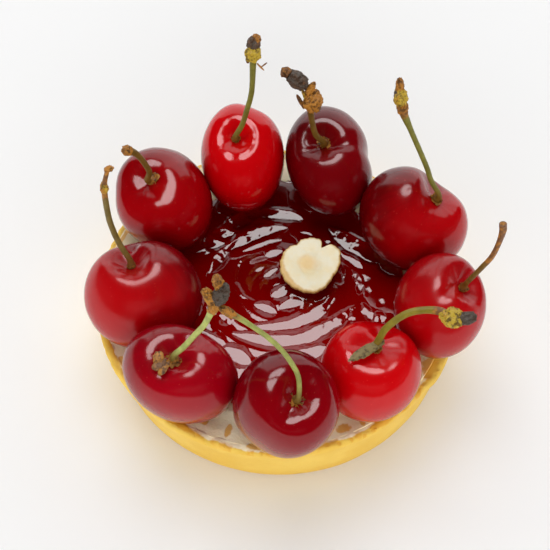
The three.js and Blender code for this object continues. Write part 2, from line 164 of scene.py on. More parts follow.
CHERRIES = {
    1: Cherry(
        (-8.9, 32.3, 28.7), (27.5, 20.5, 23), (20, -110), 90, (0.95, 0.7), 0.05, (3.5, 3.8, 1.7, 2, 0.5),
        (-20, 0.1, 0.45), (0.1, 0.2), (0.55, 0, 0.002), (0.25, 0, 0.002), (0, -0.4, 0.9), 0.55, 0.13,
    ),
    2: Cherry(
        (12.6, 31, 28.3), (28, 21, 23.5), (20, -135), 100, (1, 0.7), 0.1, (4, 4, 2, 1.5, -0.5),
        (-95, 0.1, 0.25), (1, 0.5), (0.17, 0, 0.002), (0.07, 0, 0.001), (0.5, -0.6, 0.3), 0.25, 0.18,
    ),
    3: Cherry(
        (32.5, 14.1, 28.9), (27, 23.5, 26), (20, -15), 145, (1.05, 0.85), -0.05, (4, 5, 2.5, -1, -1),
        (-80, 0.1, 0.75), (3, 1.5), (0.40, 0, 0.002), (0.10, 0, 0.001), (0.6, -0.7, 0.1), 0.35, 0.18,
    ),
    4: Cherry(
        (37.3, -10.3, 29.2), (24.5, 20.5, 24), (20, 15), 90, (1.1, 0.8), -0.05, (4, 4.5, 2.5, -1, -1.5),
        (-45, 0, 0.25), (0.5, 0.8), (0.40, 0, 0.002), (0.22, 0, 0.002), (0, -0.6, 0.5), 0.8, 0.24,
    ),
    5: Cherry(
        (20.6, -26.5, 26.7), (23, 22.5, 22), (15, 60), 20, (0.75, 0.75), 0, (2.5, 5.5, 3, -1, -1),
        (55, 0, 0.65), (2.5, 1), (0.56, 0, 0.002), (0.34, 0, 0.002), (-0.2, -0.5, 0.8), 0.85, 0.18,
    ),
    6: Cherry(
        (0.8, -37.5, 30.4), (22.5, 23.5, 26.5), (20, -35), 25, (0.8, 0.7), 0.15, (3.5, 3.5, 2, -0.5, -1),
        (-145, 0.1, 0.5), (1.5, 0.5), (0.22, 0, 0.003), (0.10, 0, 0.002), (0.2, -0.9, 0.2), 0.9, 0.14,
    ),
    7: Cherry(
        (-22.2, -28.5, 28.2), (26.5, 20.5, 24), (0, -100), 160, (0.9, 0.7), 0.1, (3.5, 4, 2, 0.5, 1),
        (-105, 0.1, 0.5), (1.5, 1), (0.33, 0, 0.006), (0.15, 0, 0.003), (0.3, -0.8, 0.4), 0.9, 0.18,
    ),
    8: Cherry(
        (-31.8, -6.6, 27.6), (27.5, 23, 24.5), (30, 110), 0, (0.8, 0.75), -0.05, (3.8, 4.2, 2.4, -0.5, -2),
        (100, 0, 0.5), (1.5, 1), (0.42, 0, 0.002), (0.12, 0, 0.002), (-0.5, -0.7, 0.3), 0.7, 0.22,
    ),
    9: Cherry(
        (-28.2, 19.9, 28.1), (26.5, 22.5, 25.5), (35, -140), 110, (0.85, 0.85), 0, (4.5, 7, 1.5, 2, -2.5),
        (60, 0.05, 0.4), (0.5, 0.3), (0.32, 0, 0.002), (0.11, 0, 0.001), (0.1, -0.7, 0.5), 0.4, 0.14,
    ),
}

GREEN = (0.21, 0.19, 0.028)
LIGHT_GREEN = (0.46, 0.51, 0.14)
PALE_GREEN = (0.34, 0.36, 0.09)
YELLOW_GREEN = (0.26, 0.20, 0.014)
OLIVE = (0.19, 0.13, 0.03)
BROWN_GREEN = (0.17, 0.09, 0.012)

STEMS = {
    1: Stem(
        0.65, 0.8, ((-9, 31.9, 41.5), (-7.6, 32, 47.5), (-6.5, 32.9, 52.5), (-6, 35.4, 61.2)),
        (
            Lump((-6.1, 35.4, 60.6), (-6, 37, 64.4), 3.6, 0.95),
            Lump((-7.2, 35.5, 60), (-7.1, 36.4, 62.4), 1.2, 0.35),
            Lump((-5.9, 36.6, 62.8), (-5.8, 38, 66.4), 3.1, 0.12),
            Lump((-5.5, 37.2, 64.2), (-5.2, 38, 66.9), 2.2, 0.52),
            Lump((-5.2, 35.4, 60.1), (-3.5, 34.5, 58.6), 0.45, 0.5),
            Lump((-4.2, 35, 59.2), (-2.8, 35.5, 60.2), 0.35, 0.4),
        ),
        GREEN, 1.0, 1.1,
    ),
    2: Stem(
        0.7, 0.8, ((8.7, 29.3, 41.5), (7.8, 29.7, 45.5), (7.3, 30.1, 49.5)),
        (
            Lump((7.2, 30, 49.3), (8.5, 31.8, 54.4), 4.3, 0.62),
            Lump((6.1, 31.4, 52.9), (8.1, 32.4, 56.7), 1.9, 0.55),
            Lump((5.9, 30.6, 49.6), (4, 31.2, 54), 1.0, 0.4),
            Lump((6.5, 31, 51.2), (5.2, 31.8, 55.4), 0.8, 0.85),
            Lump((6.6, 32.4, 55.2), (1.8, 33.8, 58.6), 3.8, 0.1),
            Lump((2.3, 33.6, 58), (0.7, 34.3, 59.4), 2.6, 0.4),
        ),
        BROWN_GREEN, 1.0, 1.7,
    ),
    3: Stem(
        0.62, 0.95, ((35.3, 14.8, 42.5), (33.8, 15.6, 47), (30, 17.9, 56), (27.2, 19.6, 62.6)),
        (
            Lump((27.7, 19.1, 61.4), (26.9, 20.2, 65), 2.6, 0.5),
            Lump((26.9, 19.8, 63.6), (26.4, 21.2, 68.2), 3.1, 0.9),
            Lump((25.9, 20.4, 65.4), (25.6, 21.1, 67.8), 1.3, 0.1),
            Lump((26.5, 20.8, 66.4), (26.2, 22.2, 70.4), 1.9, 0.55),
        ),
        GREEN, 0.9, 1.5,
    ),
    4: Stem(
        0.6, 0.85,
        ((42.4, -11.3, 41), (44.2, -11.6, 46), (46.2, -11.4, 51), (47.3, -10.8, 59.5), (47.1, -10.4, 61.6)),
        (Lump((47.1, -10.6, 60.2), (47.1, -10.2, 61.8), 1.5, 0.6),),
        BROWN_GREEN, 0.45, 1.1,
    ),
    5: Stem(
        0.8, 1,
        ((22, -24.8, 38.5), (23.2, -24.1, 41.5), (28, -22.3, 45), (33.7, -22.6, 46.5), (36, -24, 47)),
        (
            Lump((34.6, -23.6, 46.8), (39.2, -26, 47.2), 4.2, 0.92),
            Lump((38.2, -25.6, 47.4), (42, -25.2, 48.4), 2.9, 0.05),
            Lump((22.8, -24.8, 37.1), (15.3, -30.1, 38), 2.4, -1, 0.35),
        ),
        YELLOW_GREEN, 0.82, 1.4,
    ),
    6: Stem(
        0.55, 0.7,
        ((4, -38.4, 44.5), (2.8, -37.3, 48.5), (-0.7, -34.8, 53), (-6.7, -32.5, 58), (-11.6, -30.9, 60.9)),
        (Lump((-8.9, -31.8, 59.4), (-12.4, -30.7, 61.4), 1.9, 0.6),),
        PALE_GREEN, 0.85, 1.75,
    ),
    7: Stem(
        0.65, 0.75, ((-20.9, -29, 41.5), (-18.2, -29.2, 47), (-15.8, -30.1, 53), (-13.8, -30.3, 59.6)),
        (
            Lump((-14.1, -30.6, 58.6), (-12.7, -29.6, 62.8), 2.4, 0.6),
            Lump((-13.2, -30, 60.6), (-15.4, -28.6, 64.8), 2.5, 0.68),
            Lump((-13, -29.8, 61), (-10.9, -28.6, 66.4), 3.3, 0.03),
            Lump((-12, -29, 64.4), (-12.9, -26.8, 67.6), 2.3, 0.5),
            Lump((-26, -28.6, 39.2), (-26.6, -31.4, 38.6), 2.2, 0.55, 0.4),
            Lump((-25, -29.8, 38.5), (-27.2, -32.8, 38.4), 2.4, 0.35, 0.35),
            Lump((-24.2, -30.6, 38.1), (-26, -34, 38.4), 1.6, 0.5, 0.5),
        ),
        LIGHT_GREEN, 1.0, 2.0,
    ),
    8: Stem(
        0.68, 0.5,
        ((-35.7, -2.9, 41.5), (-37, -2.5, 47.5), (-37.6, -2, 52.5), (-37.8, 0.2, 60.6), (-36.9, 1.4, 64.4)),
        (
            Lump((-37.8, -0.6, 58.9), (-37.9, 0.5, 61.6), 1.8, 0.8),
            Lump((-37.6, 1.9, 63.8), (-35.5, 1.5, 65.6), 1.5, 0.65),
        ),
        OLIVE, 0.72, 1.0,
    ),
    9: Stem(
        0.7, 0.85, ((-30.5, 18.8, 40.5), (-31.7, 19.1, 44.5), (-33.1, 19, 47.5), (-34.2, 18.6, 49.1)),
        (Lump((-33.8, 18.8, 48.4), (-35.9, 18.1, 50.4), 2.4, 0.55),),
        BROWN_GREEN, 1.0, 2.1,
    ),
}


class Smear(NamedTuple):
    """A stroke in the jelly along an arc, rising across it from its right-hand side to its left."""

    start: tuple
    end: tuple
    bend: float
    width: float
    slope: float = 0.15


SMEARS = (
    Smear((-18.8, 13.2), (-13.2, 14.8), 0.1, 2.6, 0.26),
    Smear((-16.8, 16.2), (-10.2, 17.8), 0.2, 2.8, 0.29),
    Smear((-13.6, 19.2), (-7.0, 20.8), 0.2, 2.6, 0.34),
    Smear((-10.4, 21.6), (-4.6, 22.8), 0.1, 1.8, 0.34),
    Smear((-21.2, 11.0), (-17.6, 13.0), 0.2, 0.8),
    Smear((-9.6, 22.3), (-5.0, 23.4), 0.2, 0.8),
    Smear((-5.4, 22.5), (6.2, 21.2), 0.9, 2.6, 0.30),
    Smear((-16.6, 5.0), (-10.2, 15.0), 0.8, 2.3, 0.15),
    Smear((-13.0, 11.6), (2.4, 18.7), 1.6, 2.6, 0.27),
    Smear((-9.2, 11.2), (0.8, 15.0), 0.5, 1.2, 0.22),
    Smear((-3.6, 9.6), (0.8, 11.5), 0.3, 2.0, 0.18),
    Smear((-3.8, 3.6), (0.0, 6.5), 0.1, 1.2),
    Smear((-1.6, -2.0), (1.9, 0.8), -0.4, 2.0),
    Smear((-6.2, -3.8), (-0.5, -6.4), -0.1, 1.8),
    Smear((-0.1, -5.1), (5.3, -3.3), 0.1, 1.5),
    Smear((-6.8, -10.2), (13.4, -1.0), -4.2, 3.1, 0.13),
    Smear((1.8, -9.1), (8.0, -3.9), -0.8, 0.7),
    Smear((-11.4, -12.2), (18.2, -4.6), -5.4, 3.4, 0.13),
    Smear((-14.0, -7.0), (-11.7, -9.6), 0.1, 1.4),
    Smear((-17.5, -4.6), (-16.2, -7.0), 0.1, 0.8),
    Smear((-18.4, -12.0), (-12.0, -16.0), 0.0, 1.5, 0.15),
    Smear((-14.2, -16.4), (-6.6, -20.6), 0.3, 3.4, 0.15),
    Smear((3.0, -18.5), (11.2, -16.2), -0.4, 3.0),
    Smear((12.0, 18.3), (27.2, 7.8), -0.7, 4.0, 0.34),
    Smear((24.2, 8.6), (30.4, 4.6), 0.0, 3.0, 0.42),
    Smear((15.0, 11.5), (20.4, 6.4), 0.2, 2.0, 0.24),
    Smear((18.1, 4.3), (22.6, 3.9), -0.3, 1.9, 0.18),
    Smear((18.6, 1.8), (20.4, 1.8), 0.0, 3.6, 0.18),
    Smear((14.6, 4.4), (15.8, 4.4), 0.0, 2.2),
    Smear((23.8, -2.6), (25.2, -3.7), 0.1, 1.4),
    Smear((21.2, 0.3), (22.4, 0.0), 0.0, 1.7),
    Smear((20.1, -7.0), (22.0, -6.2), 0.0, 3.8),
    Smear((22.6, -8.9), (25.2, -7.6), 0.0, 2.4),
    Smear((16.3, -8.7), (18.0, -7.9), 0.1, 0.9),
    Smear((4.7, 17.4), (8.8, 16.0), 0.2, 0.9, 0.25),
    Smear((9.8, 12.4), (12.9, 14.8), 0.2, 1.9, 0.22),
    Smear((-15.8, -6.5), (-15.2, -12.0), -0.4, 1.2, -0.14),
    Smear((-9.6, 8.6), (-5.4, -3.2), -2.6, 0.8, -0.14),
)


# Marks on the edge: angle, distance from the middle, half length round the tart and half width.
TOASTED = (
    (-115, 38.3, 1.3, 1.0), (-106, 38.8, 0.9, 2.0), (-96, 41.6, 2.6, 0.9), (-67, 39.6, 2.0, 1.3),
    (-60.5, 40.2, 0.7, 1.2), (12, 40.2, 1.6, 1.0), (55, 39.8, 1.2, 1.4), (84, 40.6, 2.2, 0.8),
    (131, 39.9, 1.5, 1.2), (166, 40.4, 2.4, 0.9), (-152, 40.6, 1.8, 1.0),
)
GOLDEN = (
    (-52, 42.3, 7.0, 1.0), (-29.5, 41.8, 2.6, 2.4), (-40, 42.4, 1.6, 1.4), (-123, 41.8, 5.0, 1.0),
    (157, 40.7, 6.0, 0.6), (35, 42.2, 5.0, 1.0), (100, 42.4, 6.0, 0.9),
)
PITS = (
    (-74, 42.4, 0.62, 0.55), (-70.3, 42.8, 0.55, 0.5), (-66.3, 42.9, 0.5, 0.5), (-62, 43.2, 0.5, 0.45),
    (-83, 42.0, 0.5, 0.5), (-12, 42.2, 0.5, 0.5), (64, 42.3, 0.6, 0.5), (118, 42.0, 0.5, 0.5),
    (-141, 42.4, 0.55, 0.5), (176, 42.6, 0.5, 0.5),
)


def length(name, description, default):
    return bpy.props.FloatProperty(name=name, description=description, default=default, unit="LENGTH")


def amount(name, description, default):
    return bpy.props.FloatProperty(name=name, description=description, default=default)


def colour(name, description, default):
    return bpy.props.FloatVectorProperty(
        name=name, description=description, default=default, subtype="COLOR", min=0, max=1
    )


class TartCrustSettings(bpy.types.PropertyGroup):
    """Sizes and colours of the pastry shell"""

    height: length("Height", "Height of the shell", 18 * MM)
    rim_radius: length("Rim radius", "Outer radius at the rim", 43.3 * MM)
    foot_radius: length("Foot radius", "Radius of the flat underside", 38.6 * MM)
    heel_radius: length("Heel radius", "Outer radius just above the underside", 40.8 * MM)
    inner_foot_radius: length("Inner foot radius", "Inner radius at the floor", 36.4 * MM)
    inner_rim_radius: length("Inner rim radius", "Inner radius at the rim", 40.3 * MM)
    rim_sag: length("Rim sag", "How far the rim has moved to the left", 0.9 * MM)
    floor: length("Floor", "Thickness of the pastry under the cream", 4 * MM)
    pale: colour("Pale", "Pale baked pastry", (0.91, 0.63, 0.12))
    # Golden: the pastry's darker mottle and streaks, and also painted shade and bounce light low on the wall.
    golden: colour("Golden", "Deeper colour low on the wall", (0.82, 0.50, 0.06))
    toasted: colour("Toasted", "Browned places on the rim", (0.78, 0.38, 0.03))


class TartFillingSettings(bpy.types.PropertyGroup):
    """Sizes and colours of the cream and the jelly"""

    cream_edge: length("Cream edge", "Height of the cream at the rim", 17.4 * MM)
    cream_bed: length("Cream bed", "Height of the cream under the jelly", 17 * MM)
    bed_radius: length("Bed radius", "Radius of the flat bed for the jelly", 32.9 * MM)
    jelly_radius: length("Jelly radius", "Radius of the jelly", 31 * MM)
    jelly_edge: length("Jelly edge", "Height of the jelly at its edge", 18 * MM)
    jelly_rise: length("Jelly rise", "How much higher the jelly is in the middle", 0.2 * MM)
    swirl_radius: length("Swirl radius", "How far out the swirl reaches", 23 * MM)
    swirl_pitch: length("Swirl pitch", "Distance between the turns of the swirl", 4.6 * MM)
    swirl_depth: length("Swirl depth", "Half the height of the even swirl between the smears", 0.03 * MM)
    tilt: amount("Tilt", "How much lower the jelly lies towards the back", 0.02)
    front_tilt: amount("Front tilt", "How much more the front of the jelly rises", 0.025)
    raggedness: length("Raggedness", "How far the edges of the smears wander", 1.6 * MM)
    smear_skirt: length("Smear skirt", "How far a smear falls off on each side", 1.3 * MM)
    meniscus: length("Meniscus", "How high the jelly climbs the fruit", 3.6 * MM)
    meniscus_reach: length("Meniscus reach", "How near the fruit the jelly starts to climb", 1.2 * MM)
    cream: colour("Cream", "Set vanilla cream", (1.0, 0.87, 0.61))
    jelly: colour("Jelly", "Cherry jelly where it is thick", (0.10, 0.0, 0.0))
    jelly_crest: colour("Thin jelly", "Cherry jelly on the crests", (0.28, 0.0, 0.0))


class TartToppingSettings(bpy.types.PropertyGroup):
    """Sizes and colours of the nut, the cherries and the stalks"""

    nut_radius: length("Nut radius", "Radius of the hazelnut half", 7.3 * MM)
    nut_thickness: length("Nut thickness", "Depth of the hazelnut half", 6 * MM)
    unevenness: amount("Unevenness", "How much a cherry swells and shrinks unevenly", 0.012)
    hollow_unevenness: amount("Hollow unevenness", "How much the hollow's edge wanders in and out", 0.4)
    crowding: amount("Crowding", "How the rings of a cherry crowd towards its hollow", 1.3)
    nut: colour("Nut", "Cut face of the hazelnut", (1.0, 0.955, 0.74))
    nut_heart: colour("Nut heart", "Tan middle of the hazelnut", (1.0, 0.70, 0.26))
    nut_skin: colour("Nut side", "Yellow side of the hazelnut", (0.82, 0.53, 0.17))
    scale_orange: colour("Orange scale", "Dried bud scale, orange", (0.46, 0.19, 0.025))
    scale_olive: colour("Olive scale", "Dried leaf scale, olive", (0.22, 0.16, 0.05))
    scale_yellow: colour("Yellow scale", "Dried bud scale, yellow", (0.54, 0.37, 0.035))
    scale_brown: colour("Brown scale", "Dried bud scale, brown", (0.17, 0.07, 0.025))
    scale_grey: colour("Grey scale", "Dried bud scale, grey", (0.085, 0.065, 0.05))
    stalk_foot: colour("Stalk foot", "Brown foot of a stalk", (0.15, 0.05, 0.004))


class TartStudioSettings(bpy.types.PropertyGroup):
    """Floor, light and camera"""

    floor: colour("Floor", "Pale floor", (0.92, 0.92, 0.92))
    key: amount("Key", "Brightness of the large softbox", 8.0)
    key_share: amount("Key share", "Part of the softbox's brightness that falls on matt surfaces", 0.43)
    fill: amount("Fill", "Brightness of the low soft lights round the tart", 3.4)
    room: amount("Room", "Soft light from all round", 0.33)
    back: amount("Back", "Brightness of the white wall behind", 1.3)
    distance: length("Distance", "Camera distance from the middle of the tart", 0.34)
    lens: amount("Lens", "Focal length in millimetres", 91.6)
    elevation: bpy.props.FloatProperty(
        name="Elevation", description="Height of the camera", default=math.radians(57.5), subtype="ANGLE"
    )


def plug(tree, value, socket):
    """Feeds a socket with a field, or sets it to a plain value."""
    if isinstance(value, Field):
        tree.links.new(value.socket, socket)
    else:
        socket.default_value = value


class Field:
    """A value in a node tree that takes ordinary arithmetic."""

    def __init__(self, tree, socket):
        self.tree = tree
        self.socket = socket

    def math(self, operation, *others):
        node = self.tree.nodes.new("ShaderNodeMath")
        node.operation = operation
        for value, socket in zip((self, *others), node.inputs):
            plug(self.tree, value, socket)
        return Field(self.tree, node.outputs[0])

    def smooth(self, low, high, start=0.0, end=1.0):
        """A smooth step from start to end as the value goes from low to high."""
        node = self.tree.nodes.new("ShaderNodeMapRange")
        node.interpolation_type = "SMOOTHSTEP"
        names = ("Value", "From Min", "From Max", "To Min", "To Max")
        for value, name in zip((self, low, high, start, end), names):
            plug(self.tree, value, node.inputs[name])
        return Field(self.tree, node.outputs["Result"])

    def bell(self, width, power=2.0):
        """A bell of height 1 that fades with the distance from zero."""
        return (-((self.math("ABSOLUTE") / width) ** power)).exp()

    def clamp(self, low=0.0, high=1.0):
        return self.math("MAXIMUM", low).math("MINIMUM", high)

    def larger(self, other):
        return self.math("MAXIMUM", other)

    def span(self, other):
        """The length of the diagonal over two values."""
        return (self * self + other * other).math("SQRT")

    def angle_from(self, other):
        """The angle of a direction with this value along y and the other along x."""
        return self.math("ARCTAN2", other)

    def __add__(self, other):
        return self.math("ADD", other)

    def __sub__(self, other):
        return self.math("SUBTRACT", other)

    def __rsub__(self, other):
        return (-self).math("ADD", other)

    def __mul__(self, other):
        return self.math("MULTIPLY", other)

    def __truediv__(self, other):
        return self.math("DIVIDE", other)

    def __pow__(self, other):
        return self.math("POWER", other)

    def __neg__(self):
        return self.math("MULTIPLY", -1.0)

    def sin(self):
        return self.math("SINE")

    def cos(self):
        return self.math("COSINE")

    def exp(self):
        return self.math("EXPONENT")


class Builder:
    """Adds and joins the nodes of one tree."""

    def __init__(self, tree):
        self.tree = tree
        self.nodes = tree.nodes

    def add(self, kind, inputs=None, **settings):
        node = self.nodes.new(kind)
        for name, value in settings.items():
            setattr(node, name, value)
        for name, value in (inputs or {}).items():
            plug(self.tree, value, self.socket(node.inputs, name))
        return node

    @staticmethod
    def socket(sockets, name):
        """A socket by its number, or the one of that name that is in use."""
        if isinstance(name, int):
            return sockets[name]
        return next(s for s in sockets if s.name == name and s.enabled)

    def out(self, node, name=0):
        return Field(self.tree, self.socket(node.outputs, name))

    def get(self, kind, name, inputs=None, **settings):
        return self.out(self.add(kind, inputs, **settings), name)

    def split(self, vector):
        node = self.add("ShaderNodeSeparateXYZ", {0: vector})
        return [self.out(node, i) for i in range(3)]

    def vector(self, x, y, z):
        return self.get("ShaderNodeCombineXYZ", 0, {0: x, 1: y, 2: z})

    def noise(self, vector, scale, detail=3.0, roughness=0.5):
        inputs = {"Vector": vector, "Scale": scale, "Detail": detail, "Roughness": roughness}
        return self.get("ShaderNodeTexNoise", "Fac", inputs)

    def place(self):
        """In a material, where a point of the piece lies."""
        return self.get("ShaderNodeTexCoord", "Object")

    def position(self):
        """In a geometry tree, where a point lies."""
        return self.get("GeometryNodeInputPosition", 0)

    def attribute(self, name):
        return self.get("ShaderNodeAttribute", "Fac", attribute_name=name)

    def mix(self, factor, first, second):
        """The first colour with so much of the second over it."""
        inputs = {"Factor": factor, "A": rgba(first), "B": rgba(second)}
        return self.get("ShaderNodeMix", "Result", inputs, data_type="RGBA")

    def group(self, name, maker, **inputs):
        """A shared node group, with its inputs set."""
        values = {socket.replace("_", " "): value for socket, value in inputs.items()}
        return self.add("ShaderNodeGroup", values, node_tree=shared_tree(name, maker))

    def store(self, geometry, name, value):
        """Keeps a value at each point of a geometry under a name."""
        inputs = {"Geometry": geometry, "Name": name, "Value": value}
        return self.get("GeometryNodeStoreNamedAttribute", 0, inputs, data_type="FLOAT", domain="POINT")

    def shift(self, geometry, offset):
        return self.get("GeometryNodeSetPosition", 0, {"Geometry": geometry, "Offset": offset})

    def shape_of(self, thing):
        return self.get("GeometryNodeObjectInfo", "Geometry", {"Object": thing})

    def cut(self, body, tool):
        inputs = {"Mesh 1": body, "Mesh 2": tool}
        return self.get("GeometryNodeMeshBoolean", 0, inputs, operation="DIFFERENCE", solver="MANIFOLD")


class Paint(Builder):
    """A material with one Principled BSDF, whose plain values are set on its own sockets."""

    def __init__(self, name, **constants):
        self.material = bpy.data.materials.new(name)
        self.material.use_nodes = True
        super().__init__(self.material.node_tree)
        self.shader = self.nodes["Principled BSDF"]
        for socket, value in constants.items():
            self.shader.inputs[socket.replace("_", " ")].default_value = value

    def finish(self, base, height=None, strength=0.0, depth=0.0):
        """Joins a colour and a bump to the shader and gives the material back."""
        plug(self.tree, base, self.shader.inputs["Base Color"])
        if height is not None:
            inputs = {"Height": height, "Strength": strength, "Distance": depth}
            plug(self.tree, self.get("ShaderNodeBump", "Normal", inputs), self.shader.inputs["Normal"])
        return self.material


SOCKET_KINDS = {float: "Float", int: "Int", tuple: "Color"}
OUTPUT_KINDS = {"VALUE": "Float", "RGBA": "Color", "GEOMETRY": "Geometry"}


def node_group(kind, name, sockets):
    """An empty node group with named inputs, each given by its default or by what it takes."""
    tree = bpy.data.node_groups.new(name, kind)
    for socket, default in sockets.items():
        takes = default if isinstance(default, str) else SOCKET_KINDS[type(default)]
        made = tree.interface.new_socket(name=socket, in_out="INPUT", socket_type="NodeSocket" + takes)
        if takes != default:
            made.default_value = default
    entry = tree.nodes.new("NodeGroupInput")
    fields = {s.name.lower().replace(" ", "_"): Field(tree, s) for s in entry.outputs if s.name}
    return Builder(tree), SimpleNamespace(**fields)


def end_group(build, **outputs):
    """Ends a node group in its named outputs."""
    for name, field in outputs.items():
        kind = "NodeSocket" + OUTPUT_KINDS[field.socket.type]
        build.tree.interface.new_socket(name=name, in_out="OUTPUT", socket_type=kind)
    leave = build.nodes.new("NodeGroupOutput")
    for name, field in outputs.items():
        plug(build.tree, field, leave.inputs[name])
    return build.tree


def floats(*names):
    return dict.fromkeys(names, 0.0)


def geometry_tree(name, sockets):
    return node_group("GeometryNodeTree", name, {"Geometry": "Geometry", **sockets})


def end_tree(build, geometry, material):
    """Ends a geometry tree in plain geometry with its material."""
    plain = build.get("GeometryNodeRealizeInstances", 0, {0: geometry})
    painted = build.get("GeometryNodeSetMaterial", 0, {"Geometry": plain, "Material": material})
    return end_group(build, Geometry=painted)


def shared_tree(name, maker):
    """A node group by its name, made when it isn't there yet."""
    return bpy.data.node_groups.get(name) or maker(name)


def new_object(name, data):
    """A new object in the scene."""
    made = bpy.data.objects.new(name, data)
    bpy.context.scene.collection.objects.link(made)
    return made


def grow(tree, data, values):
    """Runs a geometry tree on some data and gives the result back as a plain mesh."""
    maker = new_object("maker", data)
    modifier = maker.modifiers.new("Shape", "NODES")
    modifier.node_group = tree
    for item in tree.interface.items_tree:
        if item.item_type == "SOCKET" and item.in_out == "INPUT" and item.name in values:
            modifier[item.identifier] = values[item.name]
    evaluated = maker.evaluated_get(bpy.context.evaluated_depsgraph_get())
    mesh = bpy.data.meshes.new_from_object(evaluated)
    maker.modifiers.clear()
    bpy.data.objects.remove(maker)
    if not mesh.polygons:
        raise RuntimeError(f"the tree {tree.name} made nothing")
    return mesh


def place_piece(name, mesh, node, crease=40):
    """Puts a finished mesh in the scene in place of a solid of the frame."""
    mesh.name = name
    mesh.shade_smooth()
    mesh.set_sharp_from_angle(angle=math.radians(crease))
    piece = new_object(name, mesh)
    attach(piece, BODY)
    if node:
        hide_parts(node)


def mesh_from_rings(name, rings):
    """A closed mesh with its faces outwards, over rings of points that begin and end with one point."""
    starts = np.cumsum([0] + [len(ring) for ring in rings])
    faces = []
    for i in range(len(rings) - 1):
        a, b = int(starts[i]), int(starts[i + 1])
        m, n = len(rings[i]), len(rings[i + 1])
        sides = max(m, n)
        for k in range(sides):
            j = (k + 1) % sides
            if m == 1:
                faces.append((a, b + k, b + j))
            elif n == 1:
                faces.append((a + j, a + k, b))
            else:
                faces.append((a + j, a + k, b + k, b + j))
    mesh = bpy.data.meshes.new(name)
    mesh.from_pydata([tuple(p) for ring in rings for p in ring], [], faces)
    mesh.validate()
    solid = bmesh.new()
    solid.from_mesh(mesh)
    bmesh.ops.recalc_face_normals(solid, faces=solid.faces)
    solid.to_mesh(mesh)
    solid.free()
    return mesh


def smoothstep(value, low, high):
    t = np.clip((value - low) / (high - low), 0, 1)
    return t * t * (3 - 2 * t)


def bell(distance, width, power=2.0):
    return np.exp(-((np.abs(distance) / width) ** power))


def angle_between(angle, middle):
    return np.arctan2(np.sin(angle - middle), np.cos(angle - middle))


def polar(ring):
    """Radius and angle of each point about the upright axis."""
    return np.hypot(ring[:, 0], ring[:, 1]), np.arctan2(ring[:, 1], ring[:, 0])


def ripple(angle, shift):
    """A smooth wave round the tart, between about -1 and 1."""
    waves = ((0.5, 3, 1), (0.3, 7, 2), (0.2, 13, 3))
    return sum(height * np.sin(count * angle + late * shift) for height, count, late in waves)


def fractal(points, scale, octaves=4, seed=0.0):
    """Rough noise between about -1 and 1 at each point."""
    shift = Vector((seed, -seed, 0.5 * seed))
    return np.array([noise.fractal(Vector(p) * scale + shift, 1.0, 2.0, octaves) for p in points])


def even_points(points, step=0.0, count=0):
    """Points at about even steps, or so many of them, along a line through the given ones, and its length."""
    points = np.array(points, float)
    along = np.concatenate([[0], np.cumsum(np.linalg.norm(np.diff(points, axis=0), axis=1))])
    count = count or max(2, int(along[-1] / step)) + 1
    at = np.linspace(0, along[-1], count)
    return np.stack([np.interp(at, along, column) for column in points.T], axis=1), along[-1]


def revolve(outline, sides):
    """Rings of points round the upright axis, for an outline of radii and heights."""
    angles = np.arange(sides) * 2 * math.pi / sides
    rings = []
    for radius, height in outline:
        if radius < AXIS_RADIUS:
            rings.append(np.array([[0.0, 0.0, height]]))
        else:
            rings.append(
                np.stack([radius * np.cos(angles), radius * np.sin(angles), np.full(sides, height)], axis=1)
            )
    return rings


def cherry_frame(cherry):
    """The turned and tipped place of a cherry, in metres."""
    tip, towards = (math.radians(a) for a in cherry.lean)
    hinge = Vector((-math.sin(towards), math.cos(towards), 0))
    tilt = Matrix.Rotation(tip, 4, hinge)
    spin = Matrix.Rotation(math.radians(cherry.turn), 4, "Z")
    return Matrix.Translation(Vector(cherry.at) * MM) @ tilt @ spin


def hollow_bottom(cherry):
    """The lowest point of a cherry's hollow, in the cherry's own frame."""
    depth, _, _, hollow_x, hollow_y = cherry.hollow
    out = math.hypot(2 * hollow_x / cherry.size[0], 2 * hollow_y / cherry.size[1])
    return Vector((hollow_x, hollow_y, 0.5 * cherry.size[2] * math.sqrt(1 - out * out) - depth)) * MM


def rgba(shade):
    """A colour with its alpha. A field stays as it is."""
    return shade if isinstance(shade, Field) else (*shade, 1.0)


def times(shade, *factors):
    """A colour times one factor, or times one for each channel."""
    return tuple(c * f for c, f in zip(shade, factors * 3))


def mottle_group(name):
    """Two colours mixed by soft patches with fine grain in them."""
    sockets = {"Dark": (0, 0, 0, 1), "Light": (1, 1, 1, 1)} | floats("Patch Scale", "Grain Scale", "Grain")
    build, given = node_group("ShaderNodeTree", name, sockets)
    place = build.place()
    patches = build.noise(place, given.patch_scale, 4.0, 0.55).smooth(0.32, 0.68)
    grain = build.noise(place, given.grain_scale, 3.0, 0.6)
    mask = patches * (1.0 - given.grain) + grain * given.grain
    mixed = build.mix(mask, given.dark, given.light)
    return end_group(build, Color=mixed, Patches=patches, Grain=grain)


def mottled(build, dark, light, patch_scale, grain_scale, grain):
    """Two colours in soft patches, the grain in them and the patches."""
    node = build.group(
        "Mottle", mottle_group, Dark=rgba(dark), Light=rgba(light), Patch_Scale=patch_scale,
        Grain_Scale=grain_scale, Grain=grain,
    )
    return [build.out(node, name) for name in ("Color", "Grain", "Patches")]


def dots_group(name):
    """Small round dots scattered over a surface, as a mask."""
    build, given = node_group("ShaderNodeTree", name, floats("Scale", "Size", "Share"))
    cells = build.add("ShaderNodeTexVoronoi", {"Vector": build.place(), "Scale": given.scale})
    near = build.out(cells, "Distance").smooth(given.size, given.size * 0.5)
    draw = build.split(build.out(cells, "Color"))[0]
    return end_group(build, Mask=near * draw.math("LESS_THAN", given.share))


